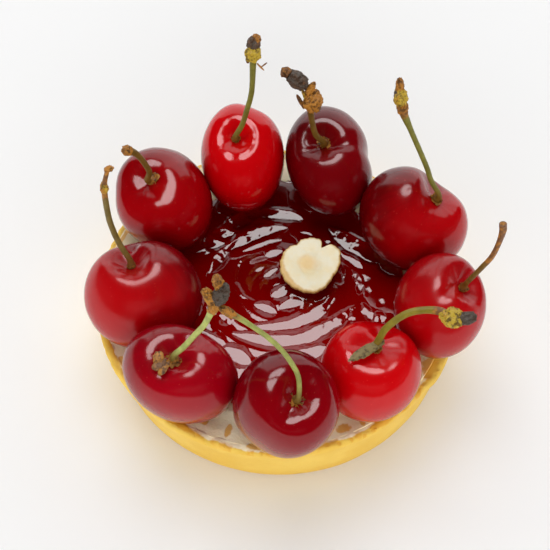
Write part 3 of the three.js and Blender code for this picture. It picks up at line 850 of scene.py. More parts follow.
def marks_group(name):
    """The marks on the tart's edge: the film of cream and its end, toasted crumbs, golden places and pits."""
    sockets = {"Film Radius": 0.0424, "Rim Height": 0.0162, "Rim Sag": 0.0009}
    build, given = node_group("ShaderNodeTree", name, sockets)
    place = build.place()
    shift = build.noise(place, 420.0, 3.0, 0.6) - 0.5
    slow = build.noise(place, 70.0, 3.0, 0.6) - 0.5
    x, y, z = build.split(place)
    x = x + given.rim_sag
    radius = x.span(y)
    masks = {}
    for kind, spots, ragged in (("Toast", TOASTED, 1.6), ("Gold", GOLDEN, 1.6), ("Pit", PITS, 0.0)):
        for turn, out, long, wide in spots:
            middle_x = math.cos(math.radians(turn)) * out * MM
            middle_y = math.sin(math.radians(turn)) * out * MM
            off_x, off_y = x - middle_x, y - middle_y
            along = (off_y * middle_x - off_x * middle_y) / (out * MM * long * MM)
            across = (off_x * middle_x + off_y * middle_y) / (out * MM * wide * MM)
            mask = (along.span(across) + shift * ragged).smooth(1.05, 0.7)
            masks[kind] = masks[kind].larger(mask) if kind in masks else mask
    high = z.smooth(given.rim_height, given.rim_height + 0.0006)
    wander = shift * 0.0012 + slow * 0.0028 + (y.angle_from(x) * 5.0).sin() * 0.0003
    reach = given.film_radius - (-x).smooth(0.030, 0.038) * 0.0013
    film = (radius + wander).smooth(reach, reach - 0.0004) * high
    film = film * (1.0 - masks["Gold"]) * (1.0 - masks["Pit"])
    seam = (radius + wander - reach).bell(0.0006) * high
    seam = seam * build.noise(place, 260.0, 3.0, 0.6).smooth(0.44, 0.56)
    return end_group(build, Film=film, Seam=seam, **{kind: mask * high for kind, mask in masks.items()})


def skin_material(name, cherry):
    """Glossy skin with painted light on one side and painted shade on the far side and at the foot, with pale
    dots and streaks at the hollow.
    """
    build = Paint(
        name, Roughness=cherry.roughness, IOR=1.45, Subsurface_Weight=0.10, Subsurface_Scale=0.004,
        Subsurface_Radius=(1.0, 0.05, 0.02),
    )
    place = build.place()
    axes = build.split(place)
    width = cherry.size[0]
    # Painted light and shade: the red turns from the shaded red to the lit red towards the lit side.
    aim = Vector(cherry.bright_side).normalized()
    away = [axis * (2 / MM / width) - middle * 2.0 / width for axis, middle in zip(axes, cherry.at)]
    turned = away[0] * aim.x + away[1] * aim.y + away[2] * aim.z
    cloud = build.noise(place, 120.0, 3.0, 0.5) - 0.5
    grain = build.noise(place, 900.0, 3.0, 0.6)
    streak = build.attribute("streak")
    mask = (turned + cloud * 0.7 + (streak - 0.5) * 0.5).smooth(-0.75, 0.85)
    skin = build.mix(mask, cherry.shade, cherry.skin)
    dots = build.group("Dots", dots_group, Scale=1100.0, Size=0.13, Share=0.35)
    dot_colour = (min(1.0, cherry.skin[0] * 1.3 + 0.15), 0.07, 0.05)
    skin = build.mix(build.out(dots, "Mask") * 0.7, skin, dot_colour)
    # Painted shade: the skin darkens to nearly black towards the foot, where the fruit meets the jelly.
    low = axes[2].smooth(0.031, 0.017)
    skin = build.mix(low * (1.0 - cherry.foot), skin, times(cherry.shade, 0.12))
    skin = build.mix(build.attribute("scar"), skin, SCAR)
    return build.finish(skin, streak * 0.6 + grain * 0.4, 0.12, 0.00015)


def jelly_material(filling):
    """Clear dark jelly: nearly black low in the swirl, redder on its crests and towards its edge."""
    build = Paint("Cherry jelly", Roughness=0.035, IOR=1.42, Coat_Weight=0.4, Coat_Roughness=0.02)
    place = build.place()
    cloud = build.noise(place, 110.0, 3.0, 0.5)
    mask = (build.attribute("lift") + (cloud - 0.5) * 0.5).clamp()
    base = build.mix(mask, filling.jelly, filling.jelly_crest)
    return build.finish(base, build.noise(place, 700.0, 2.0, 0.5), 0.05, 0.0001)


def crust_material(crust, filling):
    """Baked shortcrust: pale streaked wall, deeper golden low on it as painted shade and painted bounce
    light, golden inner rim, and a film of cream over the edge.
    """
    build = Paint("Baked shortcrust", Roughness=0.6, IOR=1.4)
    place = build.place()
    x, y, z = build.split(place)
    base, grain, _ = mottled(build, crust.golden, crust.pale, 90.0, 1600.0, 0.35)
    marks = build.group("Edge marks", marks_group)
    film, seam, toast = (build.out(marks, mark) for mark in ("Film", "Seam", "Toast"))
    gold, pit = build.out(marks, "Gold"), build.out(marks, "Pit")
    streaks = build.noise(build.vector(x * 120.0, y * 120.0, z * 2600.0), 1.0, 3.0, 0.6)
    base = build.mix(streaks.smooth(0.58, 0.70) * 0.5, base, crust.golden)
    # Painted shade and painted gold bounce light: the wall turns deeper golden towards its foot.
    base = build.mix(z.smooth(0.007, 0.0005) * 0.75, base, crust.golden)
    radius = (x + crust.rim_sag).span(y)
    inner = radius.smooth(crust.rim_radius - 1.5 * MM, crust.rim_radius - 2.3 * MM) * z.smooth(0.0155, 0.017)
    patches = build.noise(place, 150.0, 4.0, 0.6).smooth(0.36, 0.56)
    base = build.mix((inner * patches).larger(gold), base, crust.toasted)
    base = build.mix(film * 0.95, base, filling.cream)
    base = build.mix(toast.larger(seam) * 0.85, base, crust.toasted)
    base = build.mix(pit * 0.75, base, crust.toasted)
    holes = build.get("ShaderNodeTexVoronoi", "Distance", {"Vector": place, "Scale": 420.0})
    height = streaks * 0.5 + grain * 0.6 + holes.smooth(0.10, 0.22) * 0.5 - pit * 1.2
    return build.finish(base, height, 0.35, 0.0004)


def cream_material(crust, filling):
    """Set vanilla cream with faint darker patches, toasted crumbs and a few pits."""
    build = Paint(
        "Vanilla cream", Roughness=0.42, IOR=1.42, Subsurface_Weight=0.15, Subsurface_Scale=0.002,
        Subsurface_Radius=(1.0, 0.6, 0.3),
    )
    darker = times(filling.cream, 0.98, 0.92, 0.80)
    base, grain, patches = mottled(build, darker, filling.cream, 130.0, 1500.0, 0.3)
    marks = build.group("Edge marks", marks_group)
    pit = build.out(marks, "Pit")
    crumbs = build.out(marks, "Toast").larger(build.out(marks, "Gold")).larger(pit)
    base = build.mix(crumbs * 0.85, base, crust.toasted)
    return build.finish(base, grain + patches - pit * 1.2, 0.25, 0.0004)


def nut_material(toppings):
    """Cut hazelnut: ivory face with a tan heart, yellow sides, fine grain."""
    build = Paint("Cut hazelnut", Roughness=0.5, IOR=1.45)
    base, grain, _ = mottled(build, times(toppings.nut, 0.97, 0.86, 0.62), toppings.nut, 260.0, 1800.0, 0.4)
    soft = build.noise(build.place(), 500.0, 4.0, 0.65) - 0.5
    tan = (build.attribute("heart") + soft * 0.6).smooth(0.1, 1.0) * 0.75
    base = build.mix(tan, base, toppings.nut_heart)
    base = build.mix(build.attribute("rim"), base, toppings.nut_skin)
    return build.finish(base, grain, 0.3, 0.0003)


def stalk_material(name, stem, toppings):
    """Green stalk, brown at its foot and dry towards its end, and its dried scales in their tones."""
    build = Paint(name, Roughness=0.45, IOR=1.4)
    along, dry, tone = (build.attribute(kept) for kept in ("along", "dry", "tone"))
    place = build.place()
    brown, orange = toppings.scale_brown, toppings.scale_orange
    green, grain, _ = mottled(build, times(stem.tint, 0.6), times(stem.tint, 1.15), 420.0, 2600.0, 0.4)
    green = build.mix(along.smooth(0.22, 0.02) * 0.85, green, toppings.stalk_foot)
    wander = build.noise(place, 700.0, 3.0, 0.6) - 0.5
    end = (along + wander * 0.15).smooth(stem.dry_from, stem.dry_from + 0.08)
    green = build.mix(end, green, build.mix((wander + 0.5).smooth(0.44, 0.68), brown, orange))
    patches = tone + (build.noise(place, 650.0, 4.0, 0.65) - 0.5) * 0.75
    scales = toppings.scale_grey
    for low, high, shade in ((0.05, 0.32, brown), (0.34, 0.58, orange), (0.70, 0.92, toppings.scale_yellow)):
        scales = build.mix(patches.smooth(low, high), scales, shade)
    scales = build.mix(tone.smooth(-0.4, -0.6), scales, toppings.scale_olive)
    cracks = build.noise(place, 1100.0, 4.0, 0.7).smooth(0.51, 0.40)
    scales = build.mix(cracks * 0.8, scales, times(brown, 0.25))
    return build.finish(build.mix(dry, green, scales), grain, 0.5, 0.0004)


def cherry_tree(name):
    """A cherry in its own frame: full, broad at the shoulders, with a hollow, a seam and two notches."""
    sockets = floats(
        "Width", "Thickness", "Height", "Top Fullness", "Foot Fullness", "Shoulder", "Crowding",
        "Hollow Depth", "Hollow Radius", "Hollow Power", "Hollow X", "Hollow Y", "Seam Angle", "Seam Depth",
        "Seam Width", "Notch", "Far Notch", "Unevenness", "Hollow Unevenness", "Grow", "Seed",
    )
    build, given = geometry_tree(name, sockets | {"Segments": 144, "Rings": 96, "Skin": "Material"})
    sizes = {"Segments": given.segments, "Rings": given.rings, "Radius": 1.0}
    ball = build.get("GeometryNodeMeshUVSphere", "Mesh", sizes)
    x, y, z = build.split(build.position())
    even = z.clamp(-1.0, 1.0).math("ARCCOSINE") / math.pi
    down = (even ** given.crowding) * math.pi
    around = y.angle_from(x)
    turn = around - given.seam_angle
    seam = turn.sin().angle_from(turn.cos()).bell(given.seam_width)
    far_seam = (-turn.sin()).angle_from(-turn.cos()).bell(given.seam_width)
    sine = down.sin().larger(0.0)
    upper = down.cos().smooth(-0.25, 0.25)
    full = given.foot_fullness + (given.top_fullness - given.foot_fullness) * upper
    swell = (sine ** full) * (down.cos() * given.shoulder + 1.0)
    side = swell * (1.0 - given.seam_depth * seam * sine * sine)
    uneven = build.noise(build.vector(x + given.seed, y, z), 1.6, 2.0, 0.4) - 0.5
    side = side * (uneven * given.unevenness * 2.0 + 1.0)
    wide = (given.width * 0.5 + given.grow) * side * around.cos()
    deep = (given.thickness * 0.5 + given.grow) * side * around.sin()
    off_x = wide - given.hollow_x
    off_y = deep - given.hollow_y
    radius = off_x.span(off_y)
    top = down.cos().math("GREATER_THAN", 0.0)
    about = off_y.angle_from(off_x)
    circle = build.vector(about.cos() + given.seed, about.sin(), given.seed)
    swing = build.noise(circle, 0.9, 2.0, 0.4) - 0.5
    reach = given.hollow_radius * (swing * given.hollow_unevenness + 1.0)
    hollow = given.hollow_depth * radius.bell(reach, given.hollow_power)
    lip = (radius - given.hollow_radius * 1.2).bell(given.hollow_radius * 0.75)
    cleft = (given.notch * seam + given.far_notch * far_seam) * sine.smooth(0.0, 0.25) * lip
    tall = (given.height * 0.5 + given.grow) * down.cos() - top * (hollow + cleft)
    places = {"Geometry": ball, "Position": build.vector(wide, deep, tall)}
    shaped = build.get("GeometryNodeSetPosition", 0, places)
    streaks = build.noise(build.vector(about.cos() * 26.0, about.sin() * 26.0, down * 1.2), 1.0, 2.0, 0.6)
    streaked = build.store(shaped, "streak", streaks)
    scarred = build.store(streaked, "scar", down.smooth(math.pi - 0.1, math.pi - 0.05))
    return end_tree(build, scarred, given.skin)


def cherry_mesh(cherry, toppings, **more):
    """One cherry in its place."""
    depth, reach, power, hollow_x, hollow_y = cherry.hollow
    seam_angle, seam_depth, seam_width = cherry.seam
    values = {
        "Width": cherry.size[0] * MM, "Thickness": cherry.size[1] * MM, "Height": cherry.size[2] * MM,
        "Top Fullness": cherry.full[0], "Foot Fullness": cherry.full[1], "Shoulder": cherry.shoulder,
        "Crowding": toppings.crowding, "Hollow Depth": depth * MM, "Hollow Radius": reach * MM,
        "Hollow Power": power, "Hollow X": hollow_x * MM, "Hollow Y": hollow_y * MM,
        "Seam Angle": math.radians(seam_angle), "Seam Depth": seam_depth, "Seam Width": seam_width,
        "Notch": cherry.notches[0] * MM, "Far Notch": cherry.notches[1] * MM,
        "Unevenness": toppings.unevenness, "Hollow Unevenness": toppings.hollow_unevenness,
        "Seed": cherry.at[0] * SEED_STEP,
    }
    values = {name: float(value) for name, value in values.items()}
    mesh = grow(shared_tree("Cherry", cherry_tree), bpy.data.meshes.new("blank"), values | more)
    mesh.transform(cherry_frame(cherry))
    return mesh


def seat_tree(name):
    """Cuts the seats of the fruit into a body and paints it."""
    build, given = geometry_tree(name, {"Fruit": "Object", "Finish": "Material"})
    return end_tree(build, build.cut(given.geometry, build.shape_of(given.fruit)), given.finish)


def smear_group(name):
    """The height of one smear in the jelly: a tilted strip along an arc, with soft skirts on both sides."""
    sockets = floats("X", "Y", "From X", "From Y", "To X", "To Y", "Bend", "Width", "Slope", "Skirt")
    build, given = node_group("GeometryNodeTree", name, sockets)
    run_x = given.to_x - given.from_x
    run_y = given.to_y - given.from_y
    size = run_x.span(run_y)
    off_x = given.x - given.from_x
    off_y = given.y - given.from_y
    along = (off_x * run_x + off_y * run_y) / (size * size)
    ends = (1.0 - (along * 2.0 - 1.0) ** 2.0).larger(0.0)
    across = (off_y * run_x - off_x * run_y) / size - given.bend * ends
    taper = ends ** 0.6
    strip = given.width * 0.5 * taper + LEAST_WIDTH
    skirt = given.skirt * taper + LEAST_WIDTH
    inside = (across / strip).clamp(-1.0, 1.0)
    beyond = ((across.math("ABSOLUTE") - strip) / skirt).clamp()
    return end_group(build, Height=given.slope * strip * inside * (1.0 - beyond))


def jelly_tree(name):
    """Winds the swirl into a jelly blank, smears it, lifts it at the fruit and cuts the seats."""
    sockets = floats(
        "Centre X", "Centre Y", "Pitch", "Depth", "Reach", "Top", "Tilt", "Front Tilt", "Raggedness", "Skirt",
        "Meniscus", "Meniscus Reach",
    )
    build, given = geometry_tree(name, sockets | {"Fruit": "Object", "Finish": "Material"})
    place = build.position()
    x, y, z = build.split(place)
    dx = x - given.centre_x
    dy = y - given.centre_y
    radius = dx.span(dy)
    angle = dy.angle_from(dx)
    wobble = (angle * 2.0 + 0.8).sin() * 0.00035
    turns = (radius + wobble) / given.pitch - angle / (2 * math.pi)
    fade = radius.smooth(0.001, 0.005) * radius.smooth(given.reach - 0.005, given.reach, 1.0, 0.0)
    relief = given.depth * fade * (turns * (2 * math.pi)).sin()
    bend_x = build.noise(place, 260.0, 3.0, 0.6) - 0.5
    bend_y = build.noise(build.vector(x + 0.1, y, z), 260.0, 3.0, 0.6) - 0.5
    warped = {"X": x + bend_x * given.raggedness, "Y": y + bend_y * given.raggedness}
    for stroke in SMEARS:
        values = {
            "From X": stroke.start[0] * MM, "From Y": stroke.start[1] * MM, "To X": stroke.end[0] * MM,
            "To Y": stroke.end[1] * MM, "Bend": stroke.bend * MM, "Width": stroke.width * MM,
            "Slope": stroke.slope, "Skirt": given.skirt,
        }
        smear = shared_tree("Smear", smear_group)
        relief = relief + build.get("GeometryNodeGroup", 0, warped | values, node_tree=smear)
    wide = build.noise(place, 90.0, 2.0, 0.5) - 0.5
    fine = build.noise(place, 800.0, 2.0, 0.5) - 0.5
    ragged = radius.smooth(0.014, 0.022, 0.25, 1.0)
    front = (y - 0.004).math("MINIMUM", 0.0)
    relief = relief + wide * 0.00008 + fine * ragged * 0.000018
    relief = relief - y * given.tilt - front * given.front_tilt
    fruit = build.shape_of(given.fruit)
    near = build.get("GeometryNodeProximity", "Distance", {0: fruit}, target_element="FACES")
    climb = given.meniscus * (-(near / given.meniscus_reach)).exp()
    top = z.math("GREATER_THAN", given.top)
    moved = build.shift(given.geometry, build.vector(0.0, 0.0, top * (relief + climb)))
    lifted = build.store(moved, "lift", relief * 900.0 + 0.35 + radius * 12.0)
    return end_tree(build, build.cut(lifted, fruit), given.finish)


def stalk_tree(name):
    """A round stalk along a curve with its own radius, joined with its buds, all slightly rough."""
    sockets = {"Sides": 18, "Roughness": 0.00012, "Buds": "Object", "Finish": "Material"}
    build, given = geometry_tree(name, sockets)
    kept = build.store(given.geometry, "along", build.get("GeometryNodeSplineParameter", "Factor"))
    circle = {"Resolution": given.sides, "Radius": 1.0}
    ring = build.get("GeometryNodeCurvePrimitiveCircle", "Curve", circle)
    radius = build.get("GeometryNodeInputRadius", 0)
    inputs = {"Curve": kept, "Profile Curve": ring, "Scale": radius, "Fill Caps": True}
    tube = build.get("GeometryNodeCurveToMesh", 0, inputs)
    bumps = build.noise(build.position(), 900.0, 3.0, 0.6) - 0.5
    pushed = {0: build.get("GeometryNodeInputNormal", 0), "Scale": bumps * given.roughness}
    barked = build.shift(tube, build.get("ShaderNodeVectorMath", 0, pushed, operation="SCALE"))
    join = build.add("GeometryNodeJoinGeometry", {0: barked})
    plug(build.tree, build.shape_of(given.buds), join.inputs[0])
    return end_tree(build, build.out(join), given.finish)


def crumb_tree(name):
    """Scatters small uneven crumbs over the high faces of a body."""
    sockets = {"Density": 90000.0, "Smallest": 0.0001, "Largest": 0.0003, "Above": 0.0, "Seed": 7}
    build, given = geometry_tree(name, sockets | {"Finish": "Material"})
    place = build.position()
    z = build.split(place)[2]
    facing = build.split(build.get("GeometryNodeInputNormal", 0))[2]
    chosen = z.math("GREATER_THAN", given.above) * facing.math("GREATER_THAN", 0.35)
    inputs = {"Mesh": given.geometry, "Selection": chosen, "Density": given.density, "Seed": given.seed}
    spots = build.get("GeometryNodeDistributePointsOnFaces", "Points", inputs)
    sizes = {"Min": given.smallest, "Max": given.largest, "Seed": given.seed}
    size = build.get("FunctionNodeRandomValue", "Value", sizes, data_type="FLOAT")
    turns = {"Min": (0, 0, 0), "Max": (6.28, 6.28, 6.28)}
    turn = build.get("FunctionNodeRandomValue", "Value", turns, data_type="FLOAT_VECTOR")
    crumb = build.get("GeometryNodeMeshIcoSphere", "Mesh", {"Radius": 1.0, "Subdivisions": 2})
    inputs = {"Points": spots, "Instance": crumb, "Rotation": turn, "Scale": size}
    many = build.get("GeometryNodeInstanceOnPoints", 0, inputs)
    plain = build.get("GeometryNodeRealizeInstances", 0, {0: many})
    jitter = build.get("ShaderNodeTexNoise", "Color", {"Vector": place, "Scale": 2500.0, "Detail": 1.0})
    centred = build.get("ShaderNodeVectorMath", 0, {0: jitter, 1: (0.5, 0.5, 0.5)}, operation="SUBTRACT")
    push = build.get("ShaderNodeVectorMath", 0, {0: centred, "Scale": 0.0003}, operation="SCALE")
    return end_tree(build, build.shift(plain, push), given.finish)


def fruit_cutter(toppings, gap, with_nut):
    """All cherries, and the nut if asked, each larger by a gap, as one hidden body that cuts the seats."""
    joined = bmesh.new()
    for cherry in CHERRIES.values():
        joined.from_mesh(cherry_mesh(cherry, toppings, Grow=gap))
    if with_nut:
        joined.from_mesh(nut_mesh(toppings, gap))
    mesh = bpy.data.meshes.new("seats")
    joined.to_mesh(mesh)
    joined.free()
    cutter = new_object("seats", mesh)
    cutter.hide_render = True
    return cutter


def with_seats(tree, mesh, toppings, values, gap=SEAT_GAP, with_nut=False):
    """A body after its tree has cut the seats of the fruit into it."""
    cutter = fruit_cutter(toppings, gap, with_nut)
    cut = grow(tree, mesh, {"Fruit": cutter, **values})
    bpy.data.objects.remove(cutter)
    return cut


def sag(ring, crust):
    """Moves a ring of points with the left side of the shell, which has sagged outwards towards the rim."""
    ring[:, 0] -= crust.rim_sag * (ring[:, 2] / crust.height) ** 2


def crust_mesh(crust):
    """The shell as a turned cup with a wavy rim, one chip, a crumbly edge and a dented wall."""
    top = crust.height
    corners = [
        (crust.foot_radius, 0), (crust.foot_radius + 1.0 * MM, 0.15 * MM),
        (crust.heel_radius - 0.4 * MM, 0.95 * MM), (crust.heel_radius, 2.2 * MM),
        (crust.rim_radius - 0.9 * MM, 0.65 * top), (crust.rim_radius - 0.1 * MM, top - 2.2 * MM),
        (crust.rim_radius, top - 1.5 * MM), (crust.rim_radius - 0.2 * MM, top - 0.7 * MM),
        (crust.rim_radius - 0.7 * MM, top - 0.2 * MM), (crust.rim_radius - 1.4 * MM, top),
        (crust.inner_rim_radius + 0.5 * MM, top - 0.2 * MM), (crust.inner_rim_radius, top - 1.0 * MM),
        (crust.inner_foot_radius + 0.9 * MM, crust.floor + 0.8 * MM), (crust.inner_foot_radius, crust.floor),
    ]
    half = 0.5 * crust.foot_radius
    outline = [(0, 0), (half, 0), *even_points(corners, 0.45 * MM)[0], (half, crust.floor), (0, crust.floor)]
    rings = revolve(outline, CRUST_SIDES)
    for ring in rings:
        radius, angle = polar(ring)
        high = smoothstep(ring[:, 2], top - 6 * MM, top - 0.8 * MM)
        chip = high * bell(angle_between(angle, CHIP_ANGLE), CHIP_HALF_WIDTH, 4)
        ring[:, 2] += high * RIM_WAVE * ripple(angle, 1.7) - chip * CHIP_DEPTH
        if radius[0] > crust.inner_rim_radius + 1 * MM:
            ring[:, :2] *= (1 + chip * CHIP_FLARE / crust.rim_radius)[:, None]
        if ring[0, 2] > 0.3 * MM and radius[0] > crust.inner_foot_radius:
            edge = smoothstep(ring[:, 2], top - 3.4 * MM, top - 0.6 * MM)
            broken = bell(angle_between(angle, BROKEN_ANGLE), BROKEN_HALF_WIDTH, 4)
            crumbly = fractal(ring, 620, 4, 3.1) * edge * (0.28 + 0.30 * broken) * MM
            worn = np.minimum(0, fractal(ring, 260, 3, 9.4) + 0.1) * edge * 0.5 * MM
            dents = fractal(ring, 90, 3, 5.2) * 0.10 * MM
            out = np.stack([np.cos(angle), np.sin(angle)], axis=1)
            ring[:, :2] += out * (crumbly * 0.7 + dents)[:, None]
            ring[:, 2] += crumbly + worn
        sag(ring, crust)
    return mesh_from_rings("crust", rings)


def cream_mesh(crust, filling):
    """The cream as a turned body that fills the shell, with a bed for the jelly."""
    rim, foot, bed = crust.inner_rim_radius, crust.inner_foot_radius, filling.bed_radius
    edge, low = filling.cream_edge, filling.cream_bed
    corners = [
        (foot - 0.4 * MM, crust.floor), (foot + 0.4 * MM, crust.floor + 1.2 * MM),
        (rim - 0.4 * MM, edge - 2.2 * MM), (rim + 1.1 * MM, edge - 0.6 * MM),
        (rim + 1.2 * MM, edge + 0.5 * MM), (rim - 1.5 * MM, edge + 0.35 * MM),
        (rim - 4 * MM, edge + 0.1 * MM), (bed + 0.6 * MM, edge), (bed, low),
    ]
    outline = [(0, crust.floor), *even_points(corners, 0.5 * MM)[0], (0.5 * bed, low), (0, low)]
    rings = revolve(outline, CREAM_SIDES)
    for ring in rings:
        radius, angle = polar(ring)
        if ring[0, 2] > low + 0.1 * MM and radius[0] < rim + 1.3 * MM:
            waves = 0.2 * MM * ripple(angle, radius[0] / MM / 3)
            ring[:, 2] += waves + fractal(ring, 240, 3, 2.2) * 0.12 * MM
        sag(ring, crust)
    return mesh_from_rings("cream", rings)


def jelly_blank(crust, filling):
    """A plain low mound of jelly, ready for the swirl."""
    reach, low = filling.jelly_radius, filling.cream_bed
    outline = [(0, low), (0.5 * reach, low), (reach - 0.4 * MM, low), (reach, low + 0.4 * MM)]
    steps = int(reach / JELLY_STEP)
    for i in range(steps + 1):
        inward = i / steps
        rise = filling.jelly_rise * smoothstep(inward, 0, 0.35)
        lip = 0.3 * MM * float(bell(inward * reach / MM, 0.6))
        outline.append(((reach - 0.5 * MM) * (1 - inward), filling.jelly_edge - lip + rise))
    rings = revolve(outline, JELLY_SIDES)
    for ring in rings:
        radius, angle = polar(ring)
        edge = smoothstep(radius, reach * 0.8, reach)
        gap = 0.11 * bell(angle_between(angle, BACK_GAP_ANGLE), 0.3)
        ring[:, :2] *= (1 + edge * (0.035 * ripple(angle, 0.4) + gap))[:, None]
        sag(ring, crust)
    return mesh_from_rings("jelly", rings)


def nut_rim(angle):
    """How far the nut's rim stands from its middle: the split, the lobe beside it, two dents and a bulge."""
    reach = 1 + 0.012 * np.sin(17 * angle + 1) + 0.008 * np.sin(41 * angle)
    for height, middle, width in NUT_FEATURES:
        reach = reach + height * bell(angle_between(angle, math.radians(middle)), width)
    return reach


def nut_mesh(toppings, grow_by=0.0):
    """Half a hazelnut, cut face up, with a shallow dimple and a slightly torn face."""
    radius, depth = toppings.nut_radius, toppings.nut_thickness
    corners = [
        (0, -depth), (1.5 * MM, -depth + 0.12 * MM), (2.9 * MM, -depth + 0.6 * MM), (4.2 * MM, -4.8 * MM),
        (5.3 * MM, -4 * MM), (6.2 * MM, -2.9 * MM), (6.8 * MM, -1.9 * MM), (7.2 * MM, -1 * MM),
        (radius, -0.4 * MM), (radius - 0.12 * MM, -0.12 * MM), (radius - 0.4 * MM, 0), (4.4 * MM, -0.05 * MM),
        (3.2 * MM, -0.2 * MM), (2.4 * MM, -0.6 * NUT_DIMPLE), (1.2 * MM, -0.9 * NUT_DIMPLE), (0, -NUT_DIMPLE),
    ]
    outline = even_points(corners, 0.22 * MM)[0]
    outline[0, 0] = outline[-1, 0] = 0
    rings = revolve(outline, NUT_SIDES)
    marks = {"rim": [], "heart": []}
    for ring in rings:
        outwards, angle = polar(ring)
        outwards = outwards / radius
        scale = 1 + (nut_rim(angle) - 1) * smoothstep(outwards, 0.2, 0.9)
        if not grow_by:
            ring[:, 2] += fractal(ring, 420, 3, 1.3) * 0.10 * MM * smoothstep(outwards, 0.05, 0.2)
        ring[:, :2] *= scale[:, None]
        skin = 0.93 - 0.16 * bell(angle_between(angle, NUT_SKIN_ANGLE), 0.7)
        side = smoothstep(-ring[:, 2], 0.2 * MM, 1.4 * MM)
        marks["rim"].extend(np.maximum(smoothstep(outwards - skin, -0.03, 0.06), side))
        off = np.hypot(ring[:, 0] - NUT_HEART[0], ring[:, 1] - NUT_HEART[1])
        marks["heart"].extend(bell(off, 2.3 * MM, 3))
    mesh = mesh_from_rings("nut", rings)
    for name, values in marks.items():
        mesh.attributes.new(name, "FLOAT", "POINT").data.foreach_set("value", np.array(values, np.float32))
    side, tall = 1 + grow_by / radius, 1 + grow_by / depth
    lean = Matrix.Rotation(NUT_LEAN, 4, "X") @ Matrix.Rotation(-NUT_LEAN, 4, "Y")
    mesh.transform(Matrix.Translation(NUT_CENTRE) @ lean @ Matrix.Diagonal((side, side, tall, 1)))
    return mesh


def blend(first, second, start, end, at):
    return first * ((end - at) / (end - start)) + second * ((at - start) / (end - start))


def spline_points(points, count):
    """Even points on a centripetal curve through the given points, and its length."""
    points = [Vector(p) for p in points]
    padded = [points[0] * 2 - points[1], *points, points[-1] * 2 - points[-2]]
    fine = []
    for i in range(1, len(padded) - 2):
        p = padded[i - 1:i + 3]
        t = [0.0]
        for k in range(3):
            t.append(t[k] + (p[k + 1] - p[k]).length ** 0.5)
        for k in range(SPLINE_STEPS):
            at = t[1] + (t[2] - t[1]) * k / SPLINE_STEPS
            a = [blend(p[n], p[n + 1], t[n], t[n + 1], at) for n in range(3)]
            b = [blend(a[n], a[n + 1], t[n], t[n + 2], at) for n in range(2)]
            fine.append(blend(b[0], b[1], t[1], t[2], at))
    return even_points([*fine, points[-1]], count=count)


def stalk_curve(stem, cherry):
    """The middle line of a stalk as a curve, with its radius at each point."""
    place, bottom = cherry_frame(cherry), hollow_bottom(cherry)
    start = [place @ bottom, place @ (bottom + Vector((0, 0, NECK)))]
    points, total = spline_points([*start, *(Vector(p) * MM for p in stem.points)], STALK_POINTS)
    curve = bpy.data.curves.new("stalk", "CURVE")
    curve.dimensions = "3D"
    spline = curve.splines.new("POLY")
    spline.points.add(len(points) - 1)
    for i, (target, point) in enumerate(zip(spline.points, points)):
        along = i / (len(points) - 1)
        flare = (FOOT_RADIUS - stem.radius * MM) * float(bell(along * total, FOOT_LENGTH))
        target.co = (*point, 1)
        change = (stem.tip - stem.radius) * MM * float(smoothstep(along, 0.75, 1))
        target.radius = stem.radius * MM + flare + change
    return curve


def collar_mesh(stem, cherry, number):
    """The ragged brown collar round the foot of a stalk."""
    reach = stem.collar * MM
    rings = revolve([(out * reach, height * MM) for out, height in COLLAR_OUTLINE], COLLAR_SIDES)
    for ring in rings[1:-1]:
        radius, angle = polar(ring)
        edge = smoothstep(radius[0], 0.5 * reach, 1.0 * reach)
        circle = np.stack([np.cos(angle), np.sin(angle), np.full(len(angle), float(number))], axis=1)
        torn = fractal(circle, 2.2, 4, number * 1.7) * 0.36
        ring[:, :2] *= (1 + edge * torn)[:, None]
        ring[:, 2] += edge * (fractal(circle, 3.4, 3, number * 2.9) * 0.45 * MM)
        ring += fractal(ring, 1400, 3, number)[:, None] * 0.07 * MM
    mesh = mesh_from_rings("collar", rings)
    mesh.transform(cherry_frame(cherry) @ Matrix.Translation(hollow_bottom(cherry)))
    return mesh


def bud_mesh(stem, cherry, number):
    """The dried scales and buds of a stem as rough eggs, and its collar."""
    joined = bmesh.new()
    dry = joined.verts.layers.float.new("dry")
    tone = joined.verts.layers.float.new("tone")
    for lump in stem.lumps:
        start, end = Vector(lump.start) * MM, Vector(lump.end) * MM
        along = (end - start).normalized()
        side = Vector(((end - start).y, -(end - start).x, 0)).normalized()
        across = side.cross(along)
        fineness = 5 if lump.width > WIDE_LUMP else 3
        made = bmesh.ops.create_icosphere(joined, subdivisions=fineness, radius=1.0)
        half = Vector((lump.width * MM / 2, (end - start).length / 2, lump.flat * lump.width * MM / 2))
        for vertex in made["verts"]:
            p = vertex.co.copy()
            rough = 1 + 0.22 * noise.fractal(p * 1.8 + start * 900, 1.0, 2.0, 4)
            crag = 0.22 * abs(noise.noise(p * 4.5 + start * 500))
            crag += 0.10 * abs(noise.noise(p * 11.0 + start * 300))
            p *= rough - crag + 0.06
            vertex.co = (start + end) / 2 + side * p.x * half.x + along * p.y * half.y + across * p.z * half.z
            vertex[dry] = 1.0
            vertex[tone] = lump.tone
    old = len(joined.verts)
    joined.from_mesh(collar_mesh(stem, cherry, number))
    joined.verts.ensure_lookup_table()
    for vertex in joined.verts[old:]:
        vertex[dry] = 1.0
        vertex[tone] = COLLAR_TONE
    mesh = bpy.data.meshes.new("buds")
    joined.to_mesh(mesh)
    joined.free()
    return mesh


